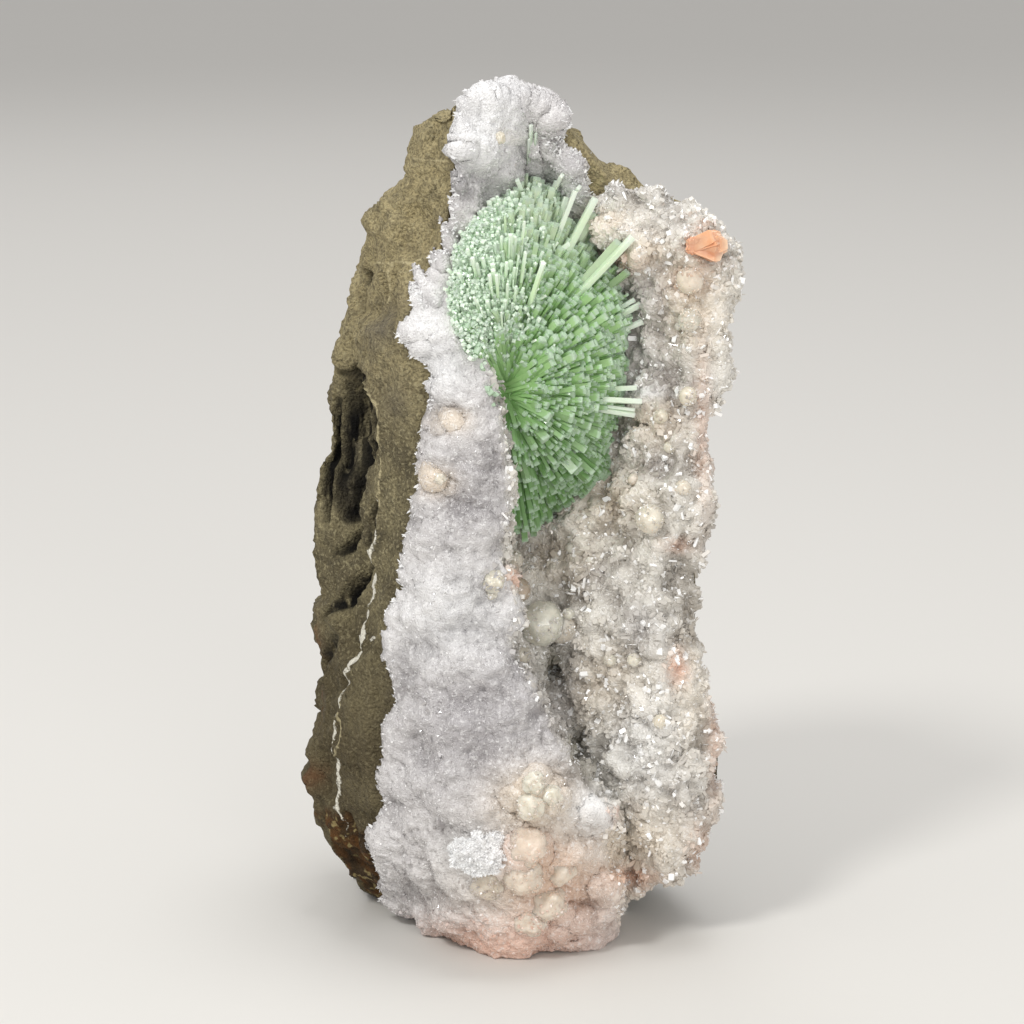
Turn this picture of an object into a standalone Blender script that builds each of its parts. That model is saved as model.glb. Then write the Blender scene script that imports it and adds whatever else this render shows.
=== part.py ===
"""Green natrolite spray in the druse-lined hollow of a broken basalt block, standing on a flat base.

Units are metres and +Z is up. The front faces -Y, and the origin is the middle of the rest face.
The columns below are measured as a front view sees them, in millimetres: across from the middle
line, up from the foot of the front, and depth behind the front plane. The view looks a little
downwards, and in_space turns each measure into its place.
"""
import math

import bmesh
import bpy
from mathutils import Matrix, Vector, noise
from mathutils.bvhtree import BVHTree

MM = 0.001

# The front view that the columns are measured in
VIEW_FALL = math.radians(12)
VIEW_DISTANCE = 440
VIEW_MIDDLE = 61.5
EYE_LEVEL = 66.6
REST_CENTRE = Vector((-2, 25, 0))

# Driving sizes of the specimen, in millimetres
RINGS = 38
JOINT_GAP = 0.35
CLEARANCE = 0.45
LUMP_HEIGHT = 0.5
LUMP_SIZE = 4.5
LEDGE_HEIGHT = 2
LEDGE_HEIGHT_IN_FRONT = 0.5
LEDGE_SIZE = 11
FINE_LEDGE_PART = 0.4
LOBE_WIDTH = 12
LIP_STEP = Vector((-0.45, 0.2, 0))
CHEEK_STEP = 0.6

# The lining's front, from its torn left edge over the curtain, down into the hollow and out to its
# right rim. Each column runs from top to foot as (across, up, depth), then meets its foot below.
LINING = {
    "edge": [
        (-7.6, 118.6, 3.5), (-7.4, 113, 3), (-8.2, 105, 3), (-9.2, 99, 3), (-11.4, 94, 2.5),
        (-13.4, 91, 2), (-13.4, 88, 2), (-14.6, 86, 2), (-12, 83.5, 1.5), (-9.2, 80, 1),
        (-10.8, 76, 1), (-11.2, 70, 1), (-12.4, 63, 1), (-13, 58, 1.2), (-14, 53, 1.5),
        (-15.6, 47, 2), (-16.5, 43.5, 2), (-15.4, 37, 2.5), (-15.8, 30, 3.5), (-17, 23, 5),
        (-17.8, 16, 8), (-17, 11, 13.5), (-16.4, 8.5, 17),
    ],
    "shoulder": [
        (-5.4, 119.4, 4.5), (-5.6, 112, 5), (-6.4, 105, 5), (-7.8, 98, 4), (-10.4, 92, 2),
        (-12, 86, 1), (-9.4, 81, 0), (-8.2, 77, -0.5), (-9.4, 70, -1), (-10.4, 60, -1.2),
        (-11.2, 52, -1), (-12.6, 44, -0.5), (-12, 36, 0), (-12.6, 28, 1), (-13.6, 20, 3.5),
        (-13.6, 13, 7.5), (-12.6, 6.5, 14),
    ],
    "belly": [
        (-3.4, 119.6, 5.5), (-3.6, 112, 7), (-4.6, 105, 7.5), (-7, 98, 5), (-9.6, 92, 2.5),
        (-10.8, 86.5, 0.8), (-7.8, 81, -0.4), (-6.4, 77, -1), (-6.6, 70, -1.8), (-7.2, 60, -2.4),
        (-8, 52, -2.6), (-8.4, 44, -2.6), (-7.4, 36, -2.4), (-7.2, 28, -2.4), (-7.2, 20, -2),
        (-7.2, 11, 0.5), (-7, 3, 5),
    ],
    "breast": [
        (-1.6, 119.8, 6.3), (-2, 112, 8.6), (-3, 105, 9.5), (-6.2, 98.5, 5.5), (-9, 92.5, 2.6),
        (-9.6, 87, 1), (-6.8, 82, -0.2), (-4.8, 77, -0.8), (-4, 70, -1.6), (-4.2, 60, -2),
        (-4.8, 52, -1.8), (-4.4, 44, -2), (-2.2, 36, -2.6), (0, 28, -3), (1.6, 20, -3.4),
        (2.2, 11, -2), (1.6, 2.5, 2.5),
    ],
    "brink": [
        (0.2, 119.8, 7), (-0.6, 112, 10), (-1.4, 106, 12), (-5.2, 99, 6.5), (-8.4, 93.5, 2.8),
        (-8.6, 88, 1.6), (-5.8, 82.5, 0.4), (-3.2, 78, 0), (-1.7, 71, -0.4), (-1, 63, 0),
        (-1.5, 57, 0.4), (-1.8, 53.5, 0.5), (-0.6, 48, 0), (-0.4, 42, -0.2), (2.6, 36.5, -0.6),
        (6, 29.5, -0.5), (8, 26, 0), (11, 22.5, 0.6), (13.4, 18.5, 1.4), (12.2, 15.5, 2),
        (13, 11, 3.5), (12.4, 4, 7),
    ],
    "wall": [
        (2.2, 119.4, 7.6), (1.4, 113, 12.5), (0, 107, 17), (-3.6, 99, 18.5), (-5.8, 93, 18),
        (-5.4, 87, 19), (-4, 82, 21), (-2.6, 77, 21.4), (-1.6, 71, 20.4), (-0.9, 64, 18),
        (-0.6, 58, 14.5), (0.2, 52, 11.5), (1.4, 46, 10), (2, 40, 10), (4.8, 34, 10),
        (7.6, 29, 10.5), (9.2, 26, 11), (12.2, 22.5, 9), (14.4, 18.5, 9), (13.6, 15, 10),
        (14.4, 11, 12), (14.2, 7.5, 15.5),
    ],
    "floor": [
        (4.4, 118.2, 8), (4.8, 113, 12.5), (5.6, 107, 17.5), (5.6, 100, 20.6), (5, 94, 22.2),
        (4, 86, 23), (3.4, 78, 23.2), (3.2, 71, 22), (3.4, 64, 19.5), (3.6, 58, 16.4),
        (4.6, 52, 14), (5, 46, 13.4), (5.8, 40, 13), (8, 33, 13.2), (10, 27.5, 14.5),
        (12.6, 23.5, 12.5), (15.4, 19, 12), (15.6, 15, 13), (16, 12, 15), (15.8, 9.5, 18.5),
    ],
    "slope": [
        (6.8, 116, 8.4), (7.8, 112, 9.6), (9, 107.6, 11.4), (11.6, 103.6, 12.8), (14.6, 99.4, 14),
        (17.2, 94, 14.4), (19.4, 88, 14.2),
        (18.4, 81, 14), (18.2, 75.6, 14), (16.4, 70, 13.6), (13.4, 65, 13), (11, 60.5, 12.6),
        (10, 56, 11.8), (10, 49, 10.4), (11.2, 42, 9.4), (12.6, 35, 9), (14, 29, 8.8),
        (16.4, 23, 8.6), (18, 18, 9), (18.6, 14, 9.8), (18.6, 11.2, 11),
    ],
    "swell": [
        (14.4, 107, 7.6), (17.4, 102.6, 9), (20, 97.5, 10), (22, 92, 10.6), (22.6, 86, 11),
        (22, 80, 10.8), (21.2, 74, 10), (19.2, 68, 9), (16.8, 62, 8.4), (15, 56, 8),
        (14.6, 49, 7.2), (15.4, 42, 6.4), (16.4, 35, 6), (17.4, 29, 6), (19.4, 23, 6.2),
        (20.6, 18, 7), (20.8, 14, 8), (20.8, 10.8, 9.6),
    ],
    "crest": [
        (19.6, 106, 7.2), (23, 101.5, 8), (25.4, 97, 8.6), (26.2, 92, 8.8), (25.6, 86, 8.6),
        (25.2, 80, 8.4), (24.2, 74, 7.8), (23, 68, 7), (21.4, 62, 6.2), (20.6, 56, 5.8),
        (20.2, 49, 5.2), (20.4, 42, 4.6), (21, 35, 4.2), (22.4, 29, 4.2), (23.8, 23, 4.8),
        (24.2, 18, 5.8), (23.6, 14, 7), (23.2, 10.8, 9.2),
    ],
    "rim": [
        (26.4, 103.6, 9.4), (29.6, 100.4, 10), (31, 97.6, 10.4), (30.8, 92.6, 10),
        (29.4, 89.6, 9.6), (29.4, 85, 9), (29.2, 78.6, 9), (27.6, 74.6, 8.6), (27, 71.4, 8),
        (27, 62, 7.4), (26, 57.4, 7.4), (26, 49, 7), (25.9, 42, 7), (27, 36.6, 7), (29, 30, 7.8),
        (29.1, 24, 8.4), (29.1, 20, 9), (27.2, 17, 9.6), (27, 14, 10.6), (25.6, 11.4, 12),
    ],
}

# Where each lining column meets the base, as (x, y, z) before the origin moves to the rest face
LINING_FOOT = {
    "edge": (-15.6, 21.5, 0), "shoulder": (-12.2, 17.2, 0), "belly": (-7, 7.5, 0),
    "breast": (1, 4, 0), "brink": (11, 8, 0), "wall": (13, 14, 0), "floor": (14.3, 20, 0),
    "slope": (19.3, 12, 8), "swell": (21, 11.2, 8.4), "crest": (23.2, 11.4, 8.6),
    "rim": (25.6, 14, 9.2),
}

# How far the lining reaches into the rock behind each column, as (sideways, backwards)
LINING_DEPTH = {
    "edge": (0.5, 1.6), "shoulder": (0.2, 2.6), "belly": (0, 3.4), "breast": (-0.4, 3.8),
    "brink": (-2.2, 3.4), "wall": (-3.4, 2), "floor": (-0.4, 3.8), "slope": (1, 3.4),
    "swell": (1, 3.4), "crest": (0.4, 3.4), "rim": (-0.3, 3),
}

# The rock's outer side, from the broken face at the left, round the back and to the right side
ROCK = {
    "face": [
        (-9.6, 118.2, 4.8), (-10.4, 112, 5), (-11.8, 105, 5.4), (-13.8, 98, 5.6), (-16.2, 92, 5),
        (-17.2, 86, 4.6), (-15.8, 80, 4), (-15, 74, 3.6), (-15.2, 67, 3.8), (-16, 60, 4.2),
        (-17, 52, 4.8), (-18.8, 44, 5.4), (-18.6, 37, 6), (-19.4, 30, 6.8), (-20.6, 23, 8.6),
        (-21.2, 16, 12.5), (-19.6, 10.5, 19),
    ],
    "ridge": [
        (-11.2, 117.6, 6.8), (-13, 112, 7.6), (-15.4, 105, 8.6), (-17.8, 98.5, 9), (-19.6, 92, 9),
        (-20, 86, 8.6), (-19.4, 79, 8), (-18.8, 72, 7.6), (-18.6, 65, 7.6), (-18.8, 58, 8),
        (-19.4, 51, 8.6), (-21, 44, 9.2), (-22.2, 37, 9.8), (-23.2, 30, 10.6), (-24.4, 23, 12),
        (-25, 17, 15), (-22.6, 10.5, 23),
    ],
    "hollow": [
        (-11.9, 117.4, 8.4), (-14, 111, 10.5), (-17, 104.5, 12.6), (-19.8, 97.5, 14),
        (-21.6, 91, 14.4), (-22.4, 84, 15), (-22.6, 78, 17.4), (-22.8, 71, 18.6),
        (-22.8, 64, 18.6), (-22.6, 57, 17), (-23, 50, 15), (-24.2, 43, 14.6), (-24.6, 36, 15),
        (-25.6, 29, 15.6), (-26.4, 22, 17), (-25.8, 16, 20), (-23.2, 10.5, 27),
    ],
    "flank": [
        (-12.2, 117, 10.6), (-13.2, 115.4, 12), (-15, 110, 15), (-17.2, 106.4, 17),
        (-19.6, 103.6, 18), (-22.3, 96.8, 20), (-22.8, 92.4, 20.5), (-24, 86.2, 21),
        (-25.4, 80.8, 21.5), (-26.6, 73, 22), (-27.4, 67, 22), (-28.6, 63, 22.4),
        (-28.8, 59, 22.4), (-27.8, 53, 22), (-27.2, 49, 22), (-27.3, 43.5, 22.4),
        (-26.4, 39.5, 22.6), (-27.2, 35, 22.6), (-28.3, 29.5, 23), (-28.4, 24.6, 23.6),
        (-27.2, 21, 24.6), (-25.6, 15.4, 27), (-23.4, 11.2, 31),
    ],
    "back_left": [
        (-10.4, 114.4, 21), (-14.4, 108, 29), (-18, 100, 33), (-20.6, 92, 35.4), (-22.4, 82, 37),
        (-24, 71, 38), (-25.2, 61, 38.6), (-24.4, 51, 39), (-24, 41, 39.6), (-24.8, 31, 40),
        (-23.8, 22, 40.4), (-20.8, 14, 41),
    ],
    "back": [
        (-4.4, 113, 27), (-8, 106, 37), (-11, 97, 42), (-13, 87, 44.6), (-14.2, 75, 46.4),
        (-14.8, 62, 47.2), (-14.2, 47, 47.8), (-14, 32, 47.4), (-11.6, 16, 46.6),
    ],
    "back_middle": [
        (4.2, 112.2, 29), (3, 106, 39), (2, 96, 45), (1, 86, 47.8), (0, 72, 49.2), (-1, 57, 50),
        (0, 42, 50), (0.4, 28, 49.2), (0.4, 16.5, 47.8),
    ],
    "back_right": [
        (12, 108.6, 25), (13, 103.4, 35), (13.6, 95, 41), (14, 85, 44), (14, 71, 46),
        (13.6, 56, 46.4), (14, 41, 46.2), (14.6, 27, 46), (13, 15.5, 45),
    ],
    "side": [
        (19.2, 105.2, 18), (22.6, 100, 23), (24.6, 94, 26), (25, 85, 28), (24.4, 75, 28),
        (23.4, 65, 28), (22.8, 55, 27.6), (22.8, 43, 28), (24.4, 33, 28.6), (25.4, 25, 29),
        (25, 18, 30), (21.6, 13, 33),
    ],
}

ROCK_FOOT = {
    "face": (-18.6, 25.5, 0), "ridge": (-21.4, 29.5, 0), "hollow": (-22.6, 32.4, 0),
    "flank": (-22.8, 36.4, 0), "back_left": (-19.4, 42.4, 0), "back": (-10, 46.2, 0),
    "back_middle": (0, 46.8, 0), "back_right": (10.5, 44.4, 0), "side": (18.2, 39.6, 0),
}

# The broken top of the rock, half way between the lining and each outer column
ROCK_TOP = [
    (-8.4, 118.5, 6.8), (-8.6, 118.3, 9), (-7.4, 118.4, 11), (-5, 118.2, 13.5), (-1, 118, 15),
    (4, 117.6, 15.5), (9, 115.6, 15), (12.6, 111.4, 16), (18.4, 107, 14),
]

# The spray: where its crystals start, how far they reach along the view and how wide they are
HEART = (-0.8, 78.2, 20)
REACH_FORWARD = 18.6
CORE_PART = 0.8
CORE_BITE = 0.8
ROOT_PART = 0.5
PRISM_COUNT = 250
PRISM_CLEARANCE = 0.4
PRISM_WIDTHS = (1.1, 1.3, 1.6, 2.1)
PRISM_TURN = 0.7
TIP_SLANT = 0.3

# Outline of the spray round its heart: (degrees from the right, upwards; reach across the view;
# how far in front of the heart its tips are there)
SPRAY_OUTLINE = [
    (-100, 17.4, 3), (-80, 19.6, 3), (-58, 17.8, 3.4), (-40, 17.6, 4.6), (-15, 17.6, 6),
    (0, 18, 7.2), (26, 21, 9), (48, 25, 11.6), (62, 28, 13), (76, 30, 13.4), (88, 29, 14),
    (98, 25.4, 17.8), (106, 22, 19.6), (116, 18.2, 20.4), (130, 12.4, 20), (145, 7, 19.4),
]

# Round growths as (across, up, depth of the middle, radius)
BALLS = {
    "cleft_balls": [(3.8, 46.1, 8.8, 3.2), (6.3, 46.3, 10, 2.7), (8.1, 47, 7.6, 1)],
    "brown_ball": [(1.1, 50.8, 10.6, 1.7)],
    "right_ball": [(19.3, 60.6, 5.4, 2)],
    "upper_ball": [(24.9, 94, 7.8, 2.1)],
    "edge_ball": [(-2.5, 51.8, -0.7, 1.6)],
    "base_knobs": [(3, 23.4, -4.2, 1.7), (2.6, 20.4, -4.4, 2), (5.2, 21.6, -3.8, 1.6)],
    "low_knobs": [(7.4, 6.4, 1.6, 2.4), (4.4, 7.4, 0.8, 2), (9.2, 8.6, 2.2, 1.7)],
}

TUFT_PLACE = (-4.2, 13.8, -1.4)
TUFT_HALF_SIZE = (4, 2.2, 2.4)
TUFT_UNEVENNESS = 0.25

STILBITE_PLACE = (27.6, 99, 8.2)
STILBITE_LENGTH = 6.4
STILBITE_WIDTH = 4.4
STILBITE_THICKNESS = 3
STILBITE_TILT = math.radians(84)

VIEW_RIGHT = Vector((1, 0, 0))
VIEW_UP = Vector((0, math.sin(VIEW_FALL), math.cos(VIEW_FALL)))
VIEW_TOWARDS = Vector((0, -math.cos(VIEW_FALL), math.sin(VIEW_FALL)))


def in_space(across, up, depth):
    """The place of a front-view measure, in millimetres before the origin moves to the rest face."""
    rise = up - VIEW_MIDDLE
    cosine = math.cos(VIEW_FALL)
    sine = math.sin(VIEW_FALL)
    span = VIEW_DISTANCE * cosine + rise * sine
    height = (rise * (VIEW_DISTANCE + depth * cosine) - VIEW_DISTANCE * depth * sine) / span
    spread = 1 + (depth * cosine - height * sine) / VIEW_DISTANCE
    return Vector((across * spread, depth, EYE_LEVEL + height))


def settle(point):
    """A millimetre point moved to the rest face's origin, in metres."""
    return (point - REST_CENTRE) * MM


def hermite(before, start, end, after, part):
    """A smooth value part of the way from start to end, with each point given as (height, value)."""
    slope_in = (end[1] - before[1]) / (end[0] - before[0])
    slope_out = (after[1] - start[1]) / (after[0] - start[0])
    step = end[0] - start[0]
    square = part * part
    cube = square * part
    return (
        (2 * cube - 3 * square + 1) * start[1] + (cube - 2 * square + part) * step * slope_in
        + (3 * square - 2 * cube) * end[1] + (cube - square) * step * slope_out
    )


def along(column, fraction, smooth):
    """The measure at a fraction of the column's height, 0 at its top and 1 at its last point."""
    up = column[0][1] + (column[-1][1] - column[0][1]) * fraction
    last = len(column) - 2
    index = next((i for i in range(last) if up >= column[i + 1][1]), last)
    start, end = column[index], column[index + 1]
    part = (up - start[1]) / (end[1] - start[1])
    if not smooth:
        return tuple(a + (b - a) * part for a, b in zip(start, end))
    before = column[index - 1] if index else start
    after = column[index + 2] if index < last else end
    across, depth = (
        hermite(*((point[1], point[axis]) for point in (before, start, end, after)), part)
        for axis in (0, 2)
    )
    return across, up, depth


def lining_row(fraction):
    """The lining's front points on one ring, and the way into the rock at each."""
    measures = {name: along(column, fraction, True) for name, column in LINING.items()}
    width = measures["brink"][0] - measures["edge"][0]
    lean = min(1, width / LOBE_WIDTH) ** 2
    points, inward = [], []
    for name, measure in measures.items():
        sideways, backwards = LINING_DEPTH[name]
        points.append(in_space(*measure))
        inward.append(Vector((sideways * lean, backwards, 0)))
    return points, inward


def lining_foot_row():
    """The lining's last ring, on the base."""
    return (
        [Vector(place) for place in LINING_FOOT.values()],
        [Vector((sideways, backwards, 0)) for sideways, backwards in LINING_DEPTH.values()],
    )


def lining_rows():
    """All rings of the lining, top to foot."""
    return [lining_row(ring / RINGS) for ring in range(RINGS + 1)] + [lining_foot_row()]


def lump(point):
    """Height of the druse's lumps at a point, from 0 to 1."""
    return 0.5 + 0.5 * noise.noise(point / LUMP_SIZE)


def lining_sections(grow):
    """The lining's front and back rows, ring by ring, its front moved out by a clearance."""
    sections = []
    rows = lining_rows()
    for ring, (points, inward) in enumerate(rows):
        raised = 0 if ring == len(rows) - 1 else LUMP_HEIGHT
        front = [
            point - way.normalized() * (grow + raised * lump(point) * (0 < index < len(points) - 1))
            for index, (point, way) in enumerate(zip(points, inward))
        ]
        sections.append((front, [point + way for point, way in zip(points, inward)]))
    return sections


def ledge(point):
    """The height of the rock's broken ledges at a point, higher on the back."""
    behind = min(max(point.y / REST_CENTRE.y - 0.8, 0), 1)
    height = LEDGE_HEIGHT_IN_FRONT + (LEDGE_HEIGHT - LEDGE_HEIGHT_IN_FRONT) * behind
    broad = noise.noise(point / LEDGE_SIZE)
    fine = noise.noise(point / (LEDGE_SIZE * FINE_LEDGE_PART))
    return height * (broad + 0.5 * fine)


def broken(outer, foot):
    """An outer ring with a point between each two columns, all moved onto the rock's ledges."""
    ring = [outer[0]]
    for index, (start, end) in enumerate(zip(outer, outer[1:])):
        for point in ((start + end) / 2, end):
            away = Vector((point.x, point.y - REST_CENTRE.y, 0)).normalized()
            fixed = foot or index == 0 or point is outer[-1]
            ring.append(point if fixed else point + away * ledge(point))
    return ring


def rock_rows():
    """The rock's rings as its contact with the lining and its outer side."""
    rows = []
    lining = lining_rows()
    for ring, (points, inward) in enumerate(lining):
        foot = ring == len(lining) - 1
        contact = [point + way + way.normalized() * JOINT_GAP for point, way in zip(points, inward)]
        contact[0] = points[0] + inward[0] + Vector((-JOINT_GAP, JOINT_GAP, 0))
        lip = points[0] + LIP_STEP
        cheek = points[-1] + Vector((0, inward[-1].y + JOINT_GAP + CHEEK_STEP, 0))
        if foot:
            outer = [lip] + [Vector(place) for place in ROCK_FOOT.values()] + [cheek]
        else:
            outer = [in_space(*along(column, ring / RINGS, False)) for column in ROCK.values()]
            outer = [lip] + outer + [cheek]
        rows.append((contact, broken(outer, foot)))
    return rows


def strip(mesh, first, second):
    """Triangles between two rows of vertices, split one way where the rows have the same count."""
    if len(first) == len(second):
        for index in range(len(first) - 1):
            mesh.faces.new((first[index], first[index + 1], second[index + 1]))
            mesh.faces.new((first[index], second[index + 1], second[index]))
        return
    near, far = 0, 0
    while near < len(first) - 1 or far < len(second) - 1:
        across = down = math.inf
        if near < len(first) - 1:
            across = (first[near + 1].co - second[far].co).length
        if far < len(second) - 1:
            down = (first[near].co - second[far + 1].co).length
        if across <= down:
            mesh.faces.new((first[near], first[near + 1], second[far]))
            near += 1
        else:
            mesh.faces.new((first[near], second[far + 1], second[far]))
            far += 1


def loft(mesh, sections):
    """Vertices and faces through sections of two rows each, a near one and a far one."""
    rings = [[[mesh.verts.new(settle(point)) for point in row] for row in rows] for rows in sections]
    for upper, lower in zip(rings, rings[1:]):
        for above, below in zip(upper, lower):
            strip(mesh, above, below)
        for end in (0, -1):
            strip(mesh, [row[end] for row in upper], [row[end] for row in lower])
    return rings


def finish_mesh(name, mesh):
    """A triangulated mesh with its faces turned out."""
    bmesh.ops.recalc_face_normals(mesh, faces=mesh.faces)
    bmesh.ops.triangulate(mesh, faces=mesh.faces)
    data = bpy.data.meshes.new(name)
    mesh.to_mesh(data)
    mesh.free()
    return data


def lining_mesh(name, grow):
    """The lining lofted through its rings, closed at the top and the foot."""
    mesh = bmesh.new()
    rings = loft(mesh, lining_sections(grow))
    strip(mesh, *rings[0])
    strip(mesh, *rings[-1])
    return finish_mesh(name, mesh)


def rock_mesh(name):
    """The rock lofted through its rings, with its broken top and its flat base."""
    mesh = bmesh.new()
    rings = loft(mesh, rock_rows())
    contact, outer = rings[0]
    middle = [mesh.verts.new(settle(in_space(*measure))) for measure in ROCK_TOP]
    strip(mesh, contact[1:-1], middle)
    strip(mesh, middle, outer[1:-1])
    for end, near in ((0, 1), (-1, -2)):
        side = middle[0 if end == 0 else -1]
        mesh.faces.new((contact[end], contact[near], side))
        mesh.faces.new((contact[end], side, outer[end]))
        mesh.faces.new((outer[end], side, outer[near]))
    contact, outer = rings[-1]
    last_contact, last_outer = (
        max(index for index, vertex in enumerate(row) if vertex.co.z < MM * JOINT_GAP)
        for row in (contact, outer)
    )
    mesh.faces.new(contact[:last_contact + 1] + outer[last_outer::-1])
    strip(mesh, contact[last_contact:], outer[last_outer:])
    return finish_mesh(name, mesh)


def spray_reach(direction):
    """The length of a crystal from the heart in a direction, on a bulging surface inside its outline."""
    right, up, towards = (direction.dot(axis) for axis in (VIEW_RIGHT, VIEW_UP, VIEW_TOWARDS))
    angle = math.degrees(math.atan2(up, right))
    if angle < (SPRAY_OUTLINE[0][0] + SPRAY_OUTLINE[-1][0] - 360) / 2:
        angle += 360
    angle = min(max(angle, SPRAY_OUTLINE[0][0]), SPRAY_OUTLINE[-1][0])
    index = next(i for i in range(len(SPRAY_OUTLINE) - 1) if angle <= SPRAY_OUTLINE[i + 1][0])
    start, end = SPRAY_OUTLINE[index], SPRAY_OUTLINE[index + 1]
    part = (angle - start[0]) / (end[0] - start[0])
    rim = start[1] + (end[1] - start[1]) * part
    lift = start[2] + (end[2] - start[2]) * part
    across = math.hypot(right, up)
    if towards <= 0 or across / towards >= rim / lift:
        return math.hypot(rim, lift)
    ratio = rim * towards / max(across, 1e-6)
    bulge = REACH_FORWARD - lift
    spread = ratio * ratio + bulge * bulge
    inner = (ratio * lift) ** 2 - spread * (lift * lift - bulge * bulge)
    share = (ratio * lift + math.sqrt(inner)) / spread
    return share * rim / max(across, 1e-6)


def golden_directions(count):
    """Directions spread evenly over a sphere."""
    turn = math.pi * (3 - math.sqrt(5))
    for index in range(count):
        height = 1 - 2 * (index + 0.5) / count
        radius = math.sqrt(1 - height * height)
        yield Vector((radius * math.cos(turn * index), radius * math.sin(turn * index), height))


def core_mesh(heart, lining_tree):
    """The grown-together heart of the spray, which its crystals stand out of."""
    mesh = bmesh.new()
    bmesh.ops.create_icosphere(mesh, subdivisions=3, radius=1)
    for vertex in mesh.verts:
        direction = vertex.co.normalized()
        reach = spray_reach(direction) * CORE_PART
        wall = lining_tree.ray_cast(settle(heart), direction)[3]
        if wall is not None:
            reach = min(reach, wall / MM + CORE_BITE)
        vertex.co = settle(heart + direction * reach)
    return finish_mesh("spray_core", mesh)


def add_prism(mesh, base, direction, length, width, roll):
    """A square prism with a low four-sided point."""
    radius = width * math.sqrt(0.5)
    made = bmesh.ops.create_cone(
        mesh, cap_ends=True, segments=4, radius1=radius, radius2=radius, depth=length
    )["verts"]
    faces = {face for vertex in made for face in vertex.link_faces}
    top = max(faces, key=lambda face: face.calc_center_median().z)
    tip = bmesh.ops.poke(mesh, faces=[top], offset=width * TIP_SLANT)["verts"]
    turn = direction.to_track_quat("Z", "Y").to_matrix().to_4x4()
    place = Matrix.Translation(base + direction * length / 2) @ turn @ Matrix.Rotation(roll, 4, "Z")
    bmesh.ops.transform(mesh, matrix=place, verts=made + tip)


def prisms_mesh(heart, lining_tree):
    """The crystals that stand out of the spray's core, where the lining leaves them room."""
    mesh = bmesh.new()
    for index, direction in enumerate(golden_directions(PRISM_COUNT)):
        reach = spray_reach(direction)
        wall = lining_tree.ray_cast(settle(heart), direction)[3]
        if wall is not None and wall / MM < reach + PRISM_CLEARANCE:
            continue
        start = heart + direction * reach * ROOT_PART
        length = reach * (1 - ROOT_PART) * MM
        width = PRISM_WIDTHS[index % len(PRISM_WIDTHS)] * MM
        add_prism(mesh, settle(start), direction, length, width, index * PRISM_TURN)
    return finish_mesh("spray_prisms", mesh)


def balls_mesh(name, balls):
    """Round growths as spheres in one mesh."""
    mesh = bmesh.new()
    for across, up, depth, radius in balls:
        place = Matrix.Translation(settle(in_space(across, up, depth)))
        bmesh.ops.create_icosphere(mesh, subdivisions=2, radius=radius * MM, matrix=place)
    return finish_mesh(name, mesh)


def tuft_mesh(name):
    """A low cushion of fine crystals with an uneven surface."""
    mesh = bmesh.new()
    bmesh.ops.create_icosphere(mesh, subdivisions=2, radius=1)
    middle = in_space(*TUFT_PLACE)
    for vertex in mesh.verts:
        swell = 1 + TUFT_UNEVENNESS * noise.noise(vertex.co * 2)
        offset = Vector(a * b for a, b in zip(vertex.co, TUFT_HALF_SIZE)) * swell
        vertex.co = settle(middle + offset)
    return finish_mesh(name, mesh)


def stilbite_mesh(name):
    """A short flattened six-sided crystal that narrows to a point at either end."""
    mesh = bmesh.new()
    made = bmesh.ops.create_uvsphere(mesh, u_segments=6, v_segments=4, radius=0.5)["verts"]
    shape = Matrix.Diagonal((STILBITE_WIDTH, STILBITE_THICKNESS, STILBITE_LENGTH, 1))
    turn = Matrix.Rotation(STILBITE_TILT, 4, "Y")
    bmesh.ops.transform(mesh, matrix=turn @ shape, verts=made)
    for vertex in mesh.verts:
        vertex.co = settle(in_space(*STILBITE_PLACE) + vertex.co)
    return finish_mesh(name, mesh)


def material(name, colour, roughness, transmission=0.0):
    """A Principled material in one colour."""
    made = bpy.data.materials.new(name)
    made.use_nodes = True
    shader = made.node_tree.nodes["Principled BSDF"]
    shader.inputs["Base Color"].default_value = (*colour, 1)
    shader.inputs["Roughness"].default_value = roughness
    shader.inputs["Metallic"].default_value = 0
    shader.inputs["Transmission Weight"].default_value = transmission
    return made


def add_object(name, data, collection, finish=None):
    """An object in a collection, with its material."""
    made = bpy.data.objects.new(name, data)
    if finish:
        data.materials.append(finish)
    collection.objects.link(made)
    return made


def hide_cutter(cutter):
    """Marks an object as a cutter."""
    cutter.hide_render = True
    cutter.display_type = "WIRE"


def boolean(target, other, operation):
    """A Boolean modifier that stays on its object."""
    modifier = target.modifiers.new(operation.title(), "BOOLEAN")
    modifier.operation = operation
    modifier.object = other
    modifier.solver = "EXACT"
    return modifier


def clear_scene():
    """Empties the scene."""
    for item in list(bpy.context.scene.objects):
        bpy.data.objects.remove(item, do_unlink=True)


def add_collection(name):
    """A collection in the scene."""
    made = bpy.data.collections.new(name)
    bpy.context.scene.collection.children.link(made)
    return made


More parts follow.
